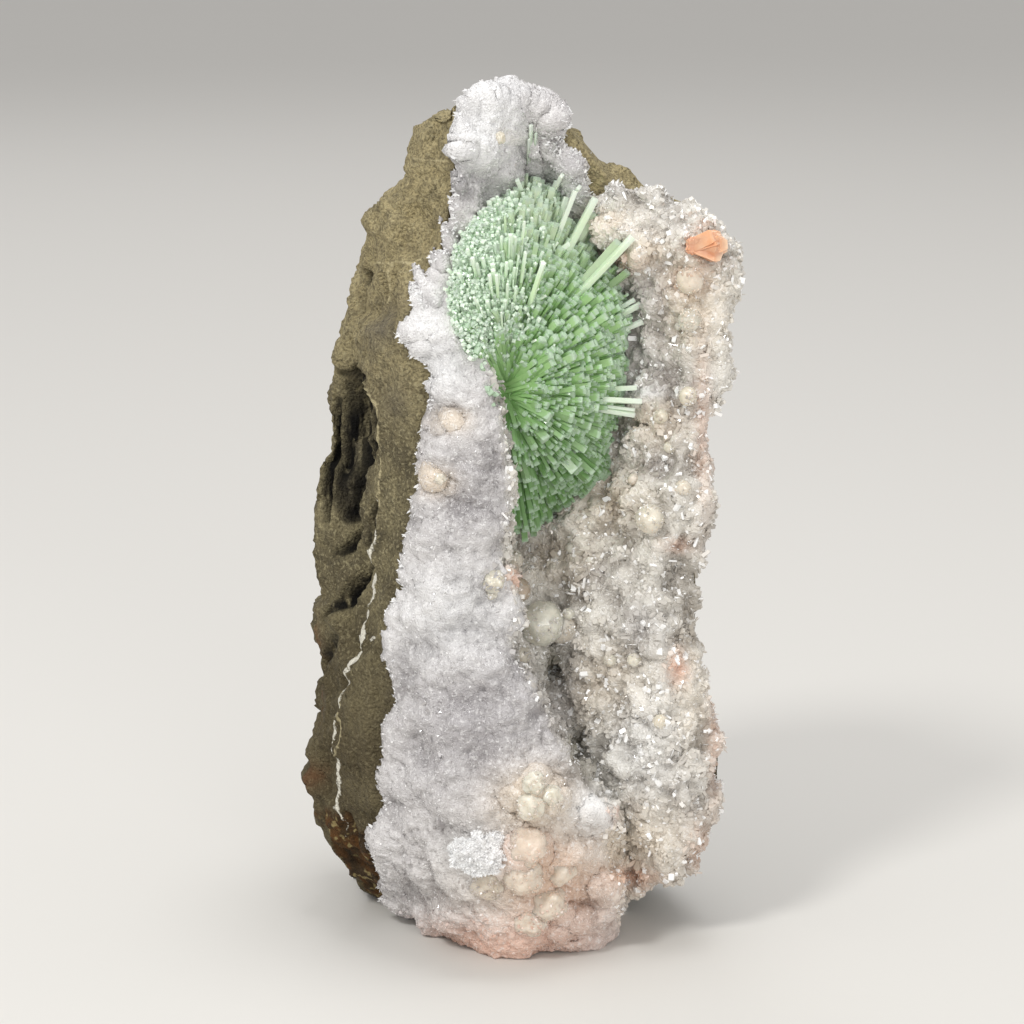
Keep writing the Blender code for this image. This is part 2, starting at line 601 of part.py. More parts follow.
def build():
    """The whole specimen."""
    clear_scene()
    specimen = add_collection("natrolite_specimen")
    cutters = add_collection("cutters")
    basalt = material("basalt", (0.14, 0.12, 0.075), 0.9)
    druse = material("druse", (0.82, 0.8, 0.78), 0.45)
    natrolite = material("natrolite", (0.38, 0.6, 0.4), 0.2, 0.4)
    stilbite = material("stilbite", (0.85, 0.42, 0.22), 0.4)
    pearl = material("pearl", (0.72, 0.68, 0.6), 0.3)

    add_object("basalt_matrix", rock_mesh("basalt_matrix"), specimen, basalt)
    add_object("druse_lining", lining_mesh("druse_lining", 0), specimen, druse)
    lining_cutter = add_object("lining_cutter", lining_mesh("lining_cutter", CLEARANCE), cutters)
    hide_cutter(lining_cutter)
    tree = BVHTree.FromPolygons(
        [vertex.co for vertex in lining_cutter.data.vertices],
        [tuple(face.vertices) for face in lining_cutter.data.polygons],
    )

    heart = in_space(*HEART)
    spray = add_object("natrolite_spray", core_mesh(heart, tree), specimen, natrolite)
    prisms = add_object("spray_prisms", prisms_mesh(heart, tree), cutters)
    hide_cutter(prisms)
    boolean(spray, prisms, "UNION")
    boolean(spray, lining_cutter, "DIFFERENCE")

    for name, balls in BALLS.items():
        piece = add_object(name, balls_mesh(name, balls[:1]), specimen, pearl)
        for number, ball in enumerate(balls[1:]):
            joined = add_object(f"{name}_{number}", balls_mesh(f"{name}_{number}", [ball]), cutters)
            hide_cutter(joined)
            boolean(piece, joined, "UNION")
        boolean(piece, lining_cutter, "DIFFERENCE")

    tuft = add_object("white_tuft", tuft_mesh("white_tuft"), specimen, druse)
    boolean(tuft, lining_cutter, "DIFFERENCE")
    crystal = add_object("stilbite_crystal", stilbite_mesh("stilbite_crystal"), specimen, stilbite)
    boolean(crystal, lining_cutter, "DIFFERENCE")


build()
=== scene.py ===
"""Looks of a natrolite specimen: green crystals in the druse-lined hollow of a broken basalt block.

Sizes are in metres unless a name says otherwise, and places on the front are given as columns and
rows of the photograph, which is 1024 pixels square.
"""
import math

import bmesh
import bpy
import numpy as np
from mathutils import Matrix, Vector, noise
from mathutils.bvhtree import BVHTree


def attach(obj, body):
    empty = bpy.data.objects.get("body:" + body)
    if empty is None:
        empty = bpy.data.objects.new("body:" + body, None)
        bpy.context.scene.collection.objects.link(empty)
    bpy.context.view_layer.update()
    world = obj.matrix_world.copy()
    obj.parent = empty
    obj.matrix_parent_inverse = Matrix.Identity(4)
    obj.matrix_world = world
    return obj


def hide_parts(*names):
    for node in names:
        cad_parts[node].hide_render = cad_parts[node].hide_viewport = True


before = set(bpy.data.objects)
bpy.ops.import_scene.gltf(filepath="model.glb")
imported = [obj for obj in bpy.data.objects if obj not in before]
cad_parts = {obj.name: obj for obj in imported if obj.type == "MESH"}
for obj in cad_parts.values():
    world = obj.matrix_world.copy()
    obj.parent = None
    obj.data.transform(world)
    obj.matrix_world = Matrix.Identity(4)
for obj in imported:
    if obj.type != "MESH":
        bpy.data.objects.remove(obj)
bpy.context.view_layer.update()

MM = 0.001
TURN = 6.28

# The photograph's view
PHOTO_SIDE = 1024
LENS = 110.5
SENSOR = 36
VIEW_FALL = math.radians(12)
VIEW_DISTANCE = 0.44
VIEW_TARGET = Vector((0.002, -0.025, 0.0666))
VIEW_RIGHT = Vector((1, 0, 0))
VIEW_UP = Vector((0, math.sin(VIEW_FALL), math.cos(VIEW_FALL)))
VIEW_BACK = Vector((0, -math.cos(VIEW_FALL), math.sin(VIEW_FALL)))
EYE = VIEW_TARGET + VIEW_BACK * VIEW_DISTANCE
PER_PIXEL = SENSOR / LENS / PHOTO_SIDE


def add_camera():
    """The camera at the photograph's viewing angle."""
    data = bpy.data.cameras.new("camera")
    data.lens = LENS
    data.sensor_width = SENSOR
    data.clip_start = 0.01
    camera = bpy.data.objects.new("camera", data)
    camera.location = EYE
    camera.rotation_euler = VIEW_BACK.to_track_quat("Z", "Y").to_euler()
    bpy.context.scene.collection.objects.link(camera)
    bpy.context.scene.camera = camera


def line_of_sight(column, row):
    """The way from the eye through a place in the photograph."""
    half = PHOTO_SIDE / 2
    across = VIEW_RIGHT * ((column - half) * PER_PIXEL)
    return (across + VIEW_UP * ((half - row) * PER_PIXEL) - VIEW_BACK).normalized()


def at_depth(column, row, depth):
    """The point at a depth, as its y, that the photograph shows at a place."""
    way = line_of_sight(column, row)
    return EYE + way * ((depth - EYE.y) / way.y)


def seen_at(points):
    """The columns and rows at which the photograph shows points in space."""
    offset = np.asarray(points) - np.array(EYE)
    far = -offset @ np.array(VIEW_BACK)
    columns = PHOTO_SIDE / 2 + offset @ np.array(VIEW_RIGHT) / far / PER_PIXEL
    rows = PHOTO_SIDE / 2 - offset @ np.array(VIEW_UP) / far / PER_PIXEL
    return columns, rows


add_camera()

# Places in the photograph, as (column, row)

# The left lobe's right edge, top to foot
LOBE_EDGE = [
    (488, 380), (500, 395), (497, 420), (503, 470), (505, 520), (500, 545), (497, 560), (510, 600),
    (515, 620), (505, 640), (515, 660), (530, 690), (555, 740), (570, 765), (590, 790), (610, 820),
    (600, 840), (605, 870), (615, 890),
]
# The druse's broken edge over the basalt at the top right, where the rock shows
BARE_TOP = [
    (556, 90), (555, 108), (556, 122), (557, 141), (566, 153), (575, 162), (578, 178), (587, 187),
    (597, 199), (605, 192), (612, 186), (640, 180), (650, 90),
]
# Veins in the basalt, as (column, row, half width)
VEINS = [
    [
        (377, 499, 0.7), (378, 540, 0.8), (372, 572, 1.6), (369, 594, 2.2), (361, 609, 1.8),
        (357, 633, 2.2), (353, 657, 2.2), (350, 668, 2.6), (344, 674, 1.6), (346, 681, 1.2),
        (344, 713, 1.4), (338, 746, 0.8), (334, 787, 1.2), (331, 807, 1.4), (334, 814, 0.8),
        (343, 828, 0.6), (344, 846, 0.6),
    ],
    [(392, 880, 1.2), (387, 893, 2.4), (384, 906, 1.4)],
    [(363, 641, 1.6), (369, 638, 2)],
    [(380, 633, 1), (388, 637, 1.6), (393, 640, 1.6)],
    [(361, 551, 0.6), (374, 550, 0.9)],
]
# Crests along broken edges of the basalt, raised a little and lightened with a painted highlight
CRESTS = [
    [(362, 382, 0.8), (376, 402, 0.9), (379, 440, 0.8), (381, 470, 0.7), (378, 520, 0.7)],
    [(414, 159, 1), (432, 161, 1.2), (455, 160, 1)],
    [(362, 263, 0.8), (385, 262, 1.2), (410, 263, 1.4), (432, 256, 1), (443, 244, 0.8)],
    [(412, 200, 0.7), (425, 194, 0.8), (448, 179, 0.6)],
    [(388, 262, 1), (380, 290, 0.8), (374, 305, 0.7)],
    [(345, 690, 0.7), (347, 740, 0.8), (340, 760, 0.6)],
]
# Clefts in the basalt, sunk in and darkened with painted shade, as (column, row, half width, depth
# in mm)
CLEFTS = [
    [(350, 374, 9, 1.8), (352, 400, 10, 3), (353, 440, 11, 3.6), (355, 472, 12, 3.8),
     (351, 500, 11, 3), (343, 517, 8, 1.8)],
    [(342, 384, 5, 1), (341, 420, 7, 2), (338, 470, 7, 2.2), (336, 508, 5, 1)],
    [(362, 392, 3, 1.2), (368, 415, 4, 2), (370, 440, 4, 2.2), (368, 462, 4, 1.8)],
    [(374, 505, 3, 1.2), (373, 522, 4, 2), (370, 545, 4, 1.6), (364, 560, 3, 1)],
    [(358, 526, 5, 1.2), (346, 545, 6, 2.4), (334, 554, 5, 1.4)],
    [(364, 566, 4, 1.2), (350, 585, 6, 2.6), (338, 604, 6, 2.2), (329, 618, 4, 1)],
    [(336, 636, 4, 1), (330, 654, 6, 2.2), (324, 664, 4, 1)],
    [(331, 400, 4, 1.6), (326, 440, 5, 2.4), (323, 490, 5, 2.2), (324, 520, 4, 1)],
    [(354, 268, 3, 1), (358, 273, 5, 2.4), (356, 280, 3, 1)],
    [(436, 201, 3, 0.4), (438, 206, 4, 0.5)],
    [(412, 201, 1.5, 0.7), (423, 195, 2, 0.9), (448, 178, 1, 0.5)],
    [(328, 372, 3, 1), (345, 374, 5, 1.6), (362, 378, 4, 1.2)],
    [(340, 815, 2, 0.6), (356, 834, 3, 0.8), (376, 836, 3, 0.8), (392, 842, 2, 0.6)],
    [(330, 840, 3, 0.6), (350, 862, 4, 0.9), (372, 868, 3, 0.8), (388, 880, 2, 0.4)],
]
# A shell-shaped break in the basalt, as its middle and half sizes
SHELL_BREAK = (409, 230, 36, 32)
# Iron-stained ground at the foot of the rock's left side
STAINED = [
    (300, 800), (330, 812), (345, 822), (352, 830), (372, 833), (386, 842), (392, 860),
    (398, 880), (405, 918), (375, 925), (330, 890), (300, 840),
]
# Soft spots of tone, as (column, row, half width, half height, strength)
RUSTY_RIM = [(313, 640, 7, 22, 0.9), (314, 690, 6, 20, 0.7), (310, 780, 7, 16, 0.6)]
GREY_ROCK = [
    (380, 325, 14, 22, 0.8), (420, 310, 26, 20, 0.35), (400, 720, 16, 12, 0.7),
    (396, 690, 10, 10, 0.4), (395, 400, 14, 20, 0.4), (598, 140, 14, 12, 0.4),
    (340, 470, 7, 40, 0.5),
]
CREAM_DRUSE = [
    (455, 420, 16, 12, 0.7), (440, 480, 16, 14, 0.8), (610, 222, 40, 16, 0.9),
    (645, 245, 26, 24, 0.8), (690, 300, 30, 50, 0.6), (660, 420, 30, 30, 0.5),
    (610, 500, 40, 30, 0.4), (560, 560, 40, 30, 0.3), (610, 690, 40, 40, 0.4),
    (535, 795, 40, 30, 0.8), (540, 870, 70, 50, 0.8), (640, 840, 50, 40, 0.4),
    (502, 134, 10, 8, 0.5), (690, 700, 20, 60, 0.3),
]
PEACH_DRUSE = [
    (615, 262, 22, 12, 0.6), (676, 668, 10, 16, 0.9), (676, 545, 14, 8, 0.5),
    (690, 280, 16, 14, 0.4), (520, 850, 40, 16, 0.5), (500, 940, 100, 26, 0.85),
    (560, 890, 50, 40, 0.5),
    (632, 876, 26, 10, 0.8), (608, 813, 5, 5, 0.9), (511, 580, 6, 10, 1),
    (700, 850, 14, 30, 0.4), (702, 430, 8, 80, 0.4), (715, 740, 8, 70, 0.4),
    (564, 500, 10, 10, 0.7),
]
# Grey spots of painted shade where the druse lies in shadow
SHADED_DRUSE = [
    (455, 500, 30, 50, 0.5), (470, 730, 60, 70, 0.6), (500, 690, 30, 60, 0.4),
    (640, 625, 26, 30, 0.6),
    (600, 575, 20, 20, 0.4), (540, 160, 14, 30, 0.35), (640, 360, 30, 40, 0.5),
    (585, 190, 16, 10, 0.8), (610, 190, 20, 6, 0.5), (572, 160, 8, 8, 0.8),
    (680, 800, 30, 60, 0.3), (660, 465, 14, 16, 0.5), (560, 700, 20, 60, 0.6),
    (650, 290, 34, 44, 0.7), (670, 400, 30, 50, 0.6), (470, 720, 50, 50, 0.6),
]
WHITE_DRUSE = [
    (470, 140, 20, 40, 0.6), (430, 320, 30, 50, 0.5), (450, 610, 60, 50, 0.5),
    (482, 850, 34, 24, 0.9), (590, 805, 24, 16, 0.8), (640, 740, 40, 60, 0.5),
    (645, 392, 20, 8, 0.8), (440, 370, 30, 30, 0.6), (640, 225, 50, 26, 0.6),
    (495, 120, 30, 50, 0.8), (560, 200, 30, 30, 0.7),
]
# Dark olive spots of painted shade in the druse's hollows and holes
HOLLOW_SHADE_DRUSE = [
    (552, 665, 12, 22, 1), (575, 745, 10, 20, 0.9), (590, 770, 16, 24, 0.4), (498, 398, 7, 6, 1),
]
# The thin sharp rim of the druse, where it stays without lumps
SHARP_DRUSE = [(424, 300, 22, 44, 0.9), (448, 215, 10, 40, 0.8)]
# Small holes in the druse, as (column, row, radius in pixels, depth in mm)
DRUSE_HOLES = [(570, 742, 5, 4), (574, 757, 5, 4), (501, 562, 5, 3.4), (552, 672, 9, 3)]


def smooth_rise(value, low, high):
    """0 below low, 1 above high and a soft change between."""
    part = np.clip((np.asarray(value, float) - low) / (high - low), 0, 1)
    return part * part * (3 - 2 * part)


def line_distance(columns, rows, line):
    """Pixels from each place to a line of stations, and each extra measure of the line there."""
    best = np.full(len(columns), np.inf)
    extras = [np.zeros(len(columns)) for _ in line[0][2:]]
    for start, end in zip(line, line[1:]):
        across, down = end[0] - start[0], end[1] - start[1]
        part = ((columns - start[0]) * across + (rows - start[1]) * down) / (across**2 + down**2)
        part = np.clip(part, 0, 1)
        apart = np.hypot(columns - start[0] - across * part, rows - start[1] - down * part)
        nearer = apart < best
        best = np.where(nearer, apart, best)
        for index, extra in enumerate(extras):
            here = start[2 + index] + (end[2 + index] - start[2 + index]) * part
            extras[index] = np.where(nearer, here, extra)
    return best, extras


def inside(columns, rows, outline):
    """Whether each place lies inside an outline."""
    found = np.zeros(len(columns), bool)
    for start, end in zip(outline, outline[1:] + outline[:1]):
        crosses = (start[1] > rows) != (end[1] > rows)
        slope = (end[0] - start[0]) / ((end[1] - start[1]) or 1)
        found ^= crosses & (columns < start[0] + (rows - start[1]) * slope)
    return found


def edge_distance(columns, rows, outline):
    """Pixels from each place to an outline, negative outside it."""
    apart = line_distance(columns, rows, outline + outline[:1])[0]
    return np.where(inside(columns, rows, outline), apart, -apart)


def spots(columns, rows, tones):
    """The strength of soft spots of tone at each place, from 0 to 1."""
    left = np.ones(len(columns))
    for column, row, half_width, half_height, strength in tones:
        away = ((columns - column) / half_width) ** 2 + ((rows - row) / half_height) ** 2
        left *= 1 - strength * np.exp(-away)
    return 1 - left


# Where the top's fine druse ends below, and on its right
TOP_DRUSE_ROW = 230
TOP_DRUSE_COLUMN = 585


def on_left_lobe(columns, rows):
    """How far each place belongs to the fine-grained left lobe and the top, from 0 to 1."""
    edge = np.interp(rows, [row for _, row in LOBE_EDGE], [column for column, _ in LOBE_EDGE])
    lobe = smooth_rise(edge - columns, -6, 6)
    top = smooth_rise(TOP_DRUSE_ROW - rows, 0, 30) * smooth_rise(TOP_DRUSE_COLUMN - columns, -8, 8)
    return np.maximum(lobe, top)


def link(item):
    """Puts an object into the scene."""
    bpy.context.scene.collection.objects.link(item)
    return item


def worked(item, setup):
    """An object's mesh after modifiers, each set up as (kind, settings)."""
    for kind, settings in setup:
        modifier = item.modifiers.new(kind.title(), kind)
        for setting, value in settings.items():
            setattr(modifier, setting, value)
    bpy.context.view_layer.update()
    graph = bpy.context.evaluated_depsgraph_get()
    return bpy.data.meshes.new_from_object(item.evaluated_get(graph))


def place_of(mesh):
    """The mesh's vertices as an array."""
    places = np.empty(len(mesh.vertices) * 3, np.float32)
    mesh.vertices.foreach_get("co", places)
    return places.reshape(-1, 3).astype(float)


def normals_of(mesh):
    """The mesh's vertex normals as an array."""
    normals = np.empty(len(mesh.vertices) * 3, np.float32)
    mesh.vertex_normals.foreach_get("vector", normals)
    return normals.reshape(-1, 3).astype(float)


def move_to(mesh, places):
    """Moves the mesh's vertices, none of them below the base."""
    places = places.copy()
    places[:, 2] = np.maximum(places[:, 2], 0)
    mesh.vertices.foreach_set("co", places.astype(np.float32).ravel())
    mesh.update()


def write_marks(mesh, marks):
    """Keeps a number for each vertex under each name, for the finishes to read."""
    for name, values in marks.items():
        layer = mesh.attributes.new(name, "FLOAT", "POINT")
        layer.data.foreach_set("value", np.asarray(values, np.float32))


def tree_of(mesh):
    """A search tree of the mesh's faces."""
    mesh.calc_loop_triangles()
    corners = np.empty(len(mesh.loop_triangles) * 3, np.int32)
    mesh.loop_triangles.foreach_get("vertices", corners)
    return BVHTree.FromPolygons(place_of(mesh).tolist(), corners.reshape(-1, 3).tolist())


def unwrapped(mesh):
    """Lays the mesh out flat for its finish, while its surface is still smooth."""
    item = link(bpy.data.objects.new("flat", mesh))
    bpy.ops.object.select_all(action="DESELECT")
    item.select_set(True)
    bpy.context.view_layer.objects.active = item
    mesh.uv_layers.new(name="OFBake")
    bpy.ops.object.mode_set(mode="EDIT")
    bpy.ops.mesh.select_all(action="SELECT")
    bpy.ops.uv.smart_project(angle_limit=1.15, island_margin=0.003, scale_to_bounds=True)
    bpy.ops.object.mode_set(mode="OBJECT")
    bpy.data.objects.remove(item)


def closed_up(working, name):
    """The mesh that was worked on, ready to use."""
    made = bpy.data.meshes.new(name)
    working.to_mesh(made)
    working.free()
    return made


def joined(meshes, name):
    """Meshes joined into one."""
    working = bmesh.new()
    for mesh in meshes:
        working.from_mesh(mesh)
    return closed_up(working, name)


def piece(name, mesh, finish, slot, *nodes):
    """A finished piece of the specimen, which stands for CAD nodes."""
    mesh.name = name
    mesh.materials.clear()
    mesh.materials.append(finish)
    item = link(bpy.data.objects.new(name, mesh))
    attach(item, "root")
    if nodes:
        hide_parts(*nodes)
    return item


def unit(vectors):
    """Vectors brought to length 1."""
    return vectors / np.maximum(np.linalg.norm(vectors, axis=1, keepdims=True), 1e-12)


def frames_along(axes, rolls):
    """Three directions for each crystal: two across it and its own axis."""
    axes = unit(axes)
    helper = np.where(np.abs(axes[:, 2:3]) < 0.9, [[0.0, 0, 1]], [[1.0, 0, 0]])
    first = unit(np.cross(helper, axes))
    second = np.cross(axes, first)
    turn, lean = np.cos(rolls)[:, None], np.sin(rolls)[:, None]
    return np.stack([first * turn + second * lean, second * turn - first * lean, axes], axis=1)


class Form:
    """A crystal's shape: its points as (across, across, share of length, share of width)."""

    def __init__(self, points, faces, flats):
        self.points = np.array(points, float)
        self.starts = np.cumsum([0] + [len(face) for face in faces[:-1]])
        self.corners = np.array([corner for face in faces for corner in face])
        self.flat = np.array([place for face in flats for place in face], float)


def sides_laid_flat(count, tip_height):
    """Flat places for a crystal's sides, side by side under its tip."""
    step = 1 / count
    return [
        [(i * step, 0), ((i + 1) * step, 0), ((i + 1) * step, tip_height), (i * step, tip_height)]
        for i in range(count)
    ]


def prism_form(tip_width, tip_rise, apex_rise):
    """A square prism with bevelled shoulders and a low four-sided point."""
    square = [(-0.5, -0.5), (0.5, -0.5), (0.5, 0.5), (-0.5, 0.5)]
    points = [(x, y, 0, 0) for x, y in square] + [(x, y, 1, 0) for x, y in square]
    points += [(x * tip_width, y * tip_width, 1, tip_rise) for x, y in square]
    points.append((0, 0, 1, apex_rise))
    ring = [(0, 1), (1, 2), (2, 3), (3, 0)]
    faces = [(a, b, b + 4, a + 4) for a, b in ring]
    faces += [(a + 4, b + 4, b + 8, a + 8) for a, b in ring]
    faces += [(a + 8, b + 8, 12) for a, b in ring]
    faces.append((3, 2, 1, 0))
    flats = sides_laid_flat(4, 0.6)
    flats += [[(u, v * 0.25 + 0.6 + 0.02) for u, v in face] for face in sides_laid_flat(4, 0.6)]
    flats += [[(a / 4, 0.8), ((a + 1) / 4, 0.8), ((a + 0.5) / 4, 0.98)] for a in range(4)]
    flats.append([(0, 0.98), (0.02, 0.98), (0.02, 1), (0, 1)])
    return Form(points, faces, flats)


def spike_form(sides, shoulder, point_off):
    """A needle that narrows from its foot over a shoulder to a point."""
    ring = [
        (0.5 * math.cos(2 * math.pi * i / sides), 0.5 * math.sin(2 * math.pi * i / sides))
        for i in range(sides)
    ]
    points = [(x, y, 0, 0) for x, y in ring] + [(x * 0.85, y * 0.85, shoulder, 0) for x, y in ring]
    points.append((point_off, point_off, 1, 0))
    after = [(i + 1) % sides for i in range(sides)]
    faces = [(i, after[i], after[i] + sides, i + sides) for i in range(sides)]
    faces += [(i + sides, after[i] + sides, 2 * sides) for i in range(sides)]
    faces.append(tuple(range(sides))[::-1])
    flats = sides_laid_flat(sides, 0.7)
    flats += [
        [(i / sides, 0.7), ((i + 1) / sides, 0.7), ((i + 0.5) / sides, 0.97)] for i in range(sides)
    ]
    flats.append([(0.02 * (i % 2), 0.98 + 0.02 * (i > sides // 2)) for i in range(sides)])
    return Form(points, faces, flats)


def plain_prism_form(rise):
    """A square prism with a low four-sided point."""
    square = [(-0.5, -0.5), (0.5, -0.5), (0.5, 0.5), (-0.5, 0.5)]
    points = [(x, y, 0, 0) for x, y in square] + [(x, y, 1, 0) for x, y in square]
    points.append((0, 0, 1, rise))
    ring = [(0, 1), (1, 2), (2, 3), (3, 0)]
    faces = [(a, b, b + 4, a + 4) for a, b in ring] + [(a + 4, b + 4, 8) for a, b in ring]
    faces.append((3, 2, 1, 0))
    flats = sides_laid_flat(4, 0.7)
    flats += [[(a / 4, 0.72), ((a + 1) / 4, 0.72), ((a + 0.5) / 4, 0.96)] for a in range(4)]
    flats.append([(0, 0.98), (0.02, 0.98), (0.02, 1), (0, 1)])
    return Form(points, faces, flats)


def grain_form(lean):
    """A small sugary crystal: a three-sided point that leans a little."""
    points = [(-0.55, -0.4, 0, 0), (0.55, -0.4, 0, 0), (0, 0.6, 0, 0), (lean, lean * 0.6, 1, 0)]
    faces = [(0, 1, 3), (1, 2, 3), (2, 0, 3), (2, 1, 0)]
    flats = [[(i / 3, 0), ((i + 1) / 3, 0), ((i + 0.5) / 3, 0.9)] for i in range(3)]
    flats.append([(0, 0.96), (0.04, 0.96), (0.04, 1)])
    return Form(points, faces, flats)


def block_form(top, skew):
    """A small blocky crystal, narrower and shifted at its top."""
    square = [(-0.5, -0.5), (0.5, -0.5), (0.5, 0.5), (-0.5, 0.5)]
    points = [(x, y, 0, 0) for x, y in square]
    points += [(x * top + skew, y * top, 1 + x * 0.3, 0) for x, y in square]
    faces = [(0, 1, 5, 4), (1, 2, 6, 5), (2, 3, 7, 6), (3, 0, 4, 7), (4, 5, 6, 7), (3, 2, 1, 0)]
    flats = sides_laid_flat(4, 0.6)
    flats += [
        [(0, 0.62), (0.3, 0.62), (0.3, 0.94), (0, 0.94)],
        [(0, 0.97), (0.03, 0.97), (0.03, 1), (0, 1)],
    ]
    return Form(points, faces, flats)


def blade_form():
    """A flat-sided bar with a chisel end."""
    square = [(-0.5, -0.5), (0.5, -0.5), (0.5, 0.5), (-0.5, 0.5)]
    points = [(x, y, 0, 0) for x, y in square] + [(x, y, 0.86, 0) for x, y in square]
    points += [(-0.3, 0, 1, 0), (0.3, 0, 1, 0)]
    faces = [(0, 1, 5, 4), (1, 2, 6, 5), (2, 3, 7, 6), (3, 0, 4, 7)]
    faces += [(4, 5, 9, 8), (5, 6, 9), (6, 7, 8, 9), (7, 4, 8), (3, 2, 1, 0)]
    flats = sides_laid_flat(4, 0.7)
    flats += [
        [(0, 0.72), (0.2, 0.72), (0.2, 0.95), (0, 0.95)],
        [(0.25, 0.72), (0.45, 0.72), (0.35, 0.95)],
        [(0.5, 0.72), (0.7, 0.72), (0.7, 0.95), (0.5, 0.95)],
        [(0.75, 0.72), (0.95, 0.72), (0.85, 0.95)],
        [(0, 0.97), (0.03, 0.97), (0.03, 1), (0, 1)],
    ]
    return Form(points, faces, flats)


PRISM = prism_form(0.84, 0.08, 0.14)
BLUNT_PRISM = prism_form(0.9, 0.05, 0.07)
PLAIN_PRISM = plain_prism_form(0.12)
NEEDLE = spike_form(3, 0.6, 0.08)
POINTS = (grain_form(0), grain_form(0.25))
BLOCKS = (block_form(0.8, 0.1), block_form(0.62, -0.15))
BLADE = blade_form()


class Growth:
    """Crystals gathered into one mesh, with a cell of the flat layout for each."""

    def __init__(self):
        self.batches = []
        self.count = 0

    def add(self, form, places, axes, rolls, widths, depths, lengths, marks):
        """Crystals of one form; marks are numbers for each crystal under their names."""
        number = len(places)
        frames = frames_along(np.asarray(axes, float), rolls)
        points = form.points
        local = np.empty((number, len(points), 3))
        local[:, :, 0] = points[:, 0] * widths[:, None]
        local[:, :, 1] = points[:, 1] * depths[:, None]
        local[:, :, 2] = points[:, 2] * lengths[:, None] + points[:, 3] * widths[:, None]
        spread = np.asarray(places)[:, None, :] + np.einsum("nki,nij->nkj", local, frames)
        kept = {name: np.repeat(values, len(points)) for name, values in marks.items()}
        kept["along"] = np.tile(points[:, 2], number)
        kept["inward"] = ((1 - points[:, 2]) * lengths[:, None] / MM).ravel()
        self.batches.append((form, spread.reshape(-1, 3), number, kept))
        self.count += number

    def mesh(self, name):
        """The gathered mesh."""
        side = math.ceil(math.sqrt(max(self.count, 1)))
        corners, starts, flats, places = [], [], [], []
        marks = {}
        first_vertex = first_corner = cell = 0
        for form, spread, number, kept in self.batches:
            step = np.arange(number)[:, None]
            corners.append((form.corners + step * len(form.points) + first_vertex).ravel())
            starts.append((form.starts + step * len(form.corners) + first_corner).ravel())
            at = np.arange(cell, cell + number)
            corner = np.stack([at % side, at // side], axis=1)[:, None, :]
            flats.append(((corner + 0.06 + 0.88 * form.flat) / side).reshape(-1, 2))
            places.append(spread)
            for mark, values in kept.items():
                marks.setdefault(mark, []).append(values)
            first_vertex += number * len(form.points)
            first_corner += number * len(form.corners)
            cell += number
        corners, starts = np.concatenate(corners), np.concatenate(starts)
        made = bpy.data.meshes.new(name)
        made.vertices.add(first_vertex)
        made.loops.add(first_corner)
        made.polygons.add(len(starts))
        made.loops.foreach_set("vertex_index", corners.astype(np.int32))
        made.polygons.foreach_set("loop_start", starts.astype(np.int32))
        made.uv_layers.new(name="OFBake").uv.foreach_set(
            "vector", np.concatenate(flats).astype(np.float32).ravel()
        )
        move_to(made, np.concatenate(places))
        made.update(calc_edges=True)
        write_marks(made, {mark: np.concatenate(values) for mark, values in marks.items()})
        made.validate()
        made.shade_flat()
        return made


class Skin:
    """A surface that crystals are scattered on."""

    def __init__(self, mesh, kept):
        mesh.calc_loop_triangles()
        corners = np.empty(len(mesh.loop_triangles) * 3, np.int32)
        mesh.loop_triangles.foreach_get("vertices", corners)
        corners = corners.reshape(-1, 3)
        corners = corners[kept[corners].all(axis=1)]
        self.corners = place_of(mesh)[corners]
        edges = self.corners[:, 1:] - self.corners[:, :1]
        crossed = np.cross(edges[:, 0], edges[:, 1])
        self.areas = np.linalg.norm(crossed, axis=1) / 2
        self.normals = unit(normals_of(mesh)[corners].mean(axis=1))
        self.middles = self.corners.mean(axis=1)
        self.columns, self.rows = seen_at(self.middles)

    def scatter(self, random, count, weights):
        """Places on the surface, as often as the weights say, with the normals there."""
        share = self.areas * weights
        chosen = random.choice(len(share), count, p=share / share.sum())
        first, second = np.sqrt(random.random(count)), random.random(count)
        shares = np.stack([1 - first, first * (1 - second), first * second], axis=1)
        places = np.einsum("nk,nkj->nj", shares, self.corners[chosen])
        return places, self.normals[chosen], chosen


def tone(red, green, blue):
    """A colour from its screen values, 0 to 255."""
    return tuple(
        ((value / 255 + 0.055) / 1.055) ** 2.4 if value > 10 else value / 255 / 12.92
        for value in (red, green, blue)
    )


class Reading:
    """A value that changes over a surface, used in sums as a number is."""

    def __init__(self, finish, socket):
        self.finish = finish
        self.socket = socket

    def work(self, operation, first, second):
        """The result of one operation on two values."""
        return self.finish.node("ShaderNodeMath", {"operation": operation}, {0: first, 1: second})

    def __add__(self, other):
        return self.work("ADD", self, other)

    __radd__ = __add__

    def __sub__(self, other):
        return self.work("SUBTRACT", self, other)

    def __rsub__(self, other):
        return self.work("SUBTRACT", other, self)

    def __mul__(self, other):
        return self.work("MULTIPLY", self, other)

    __rmul__ = __mul__


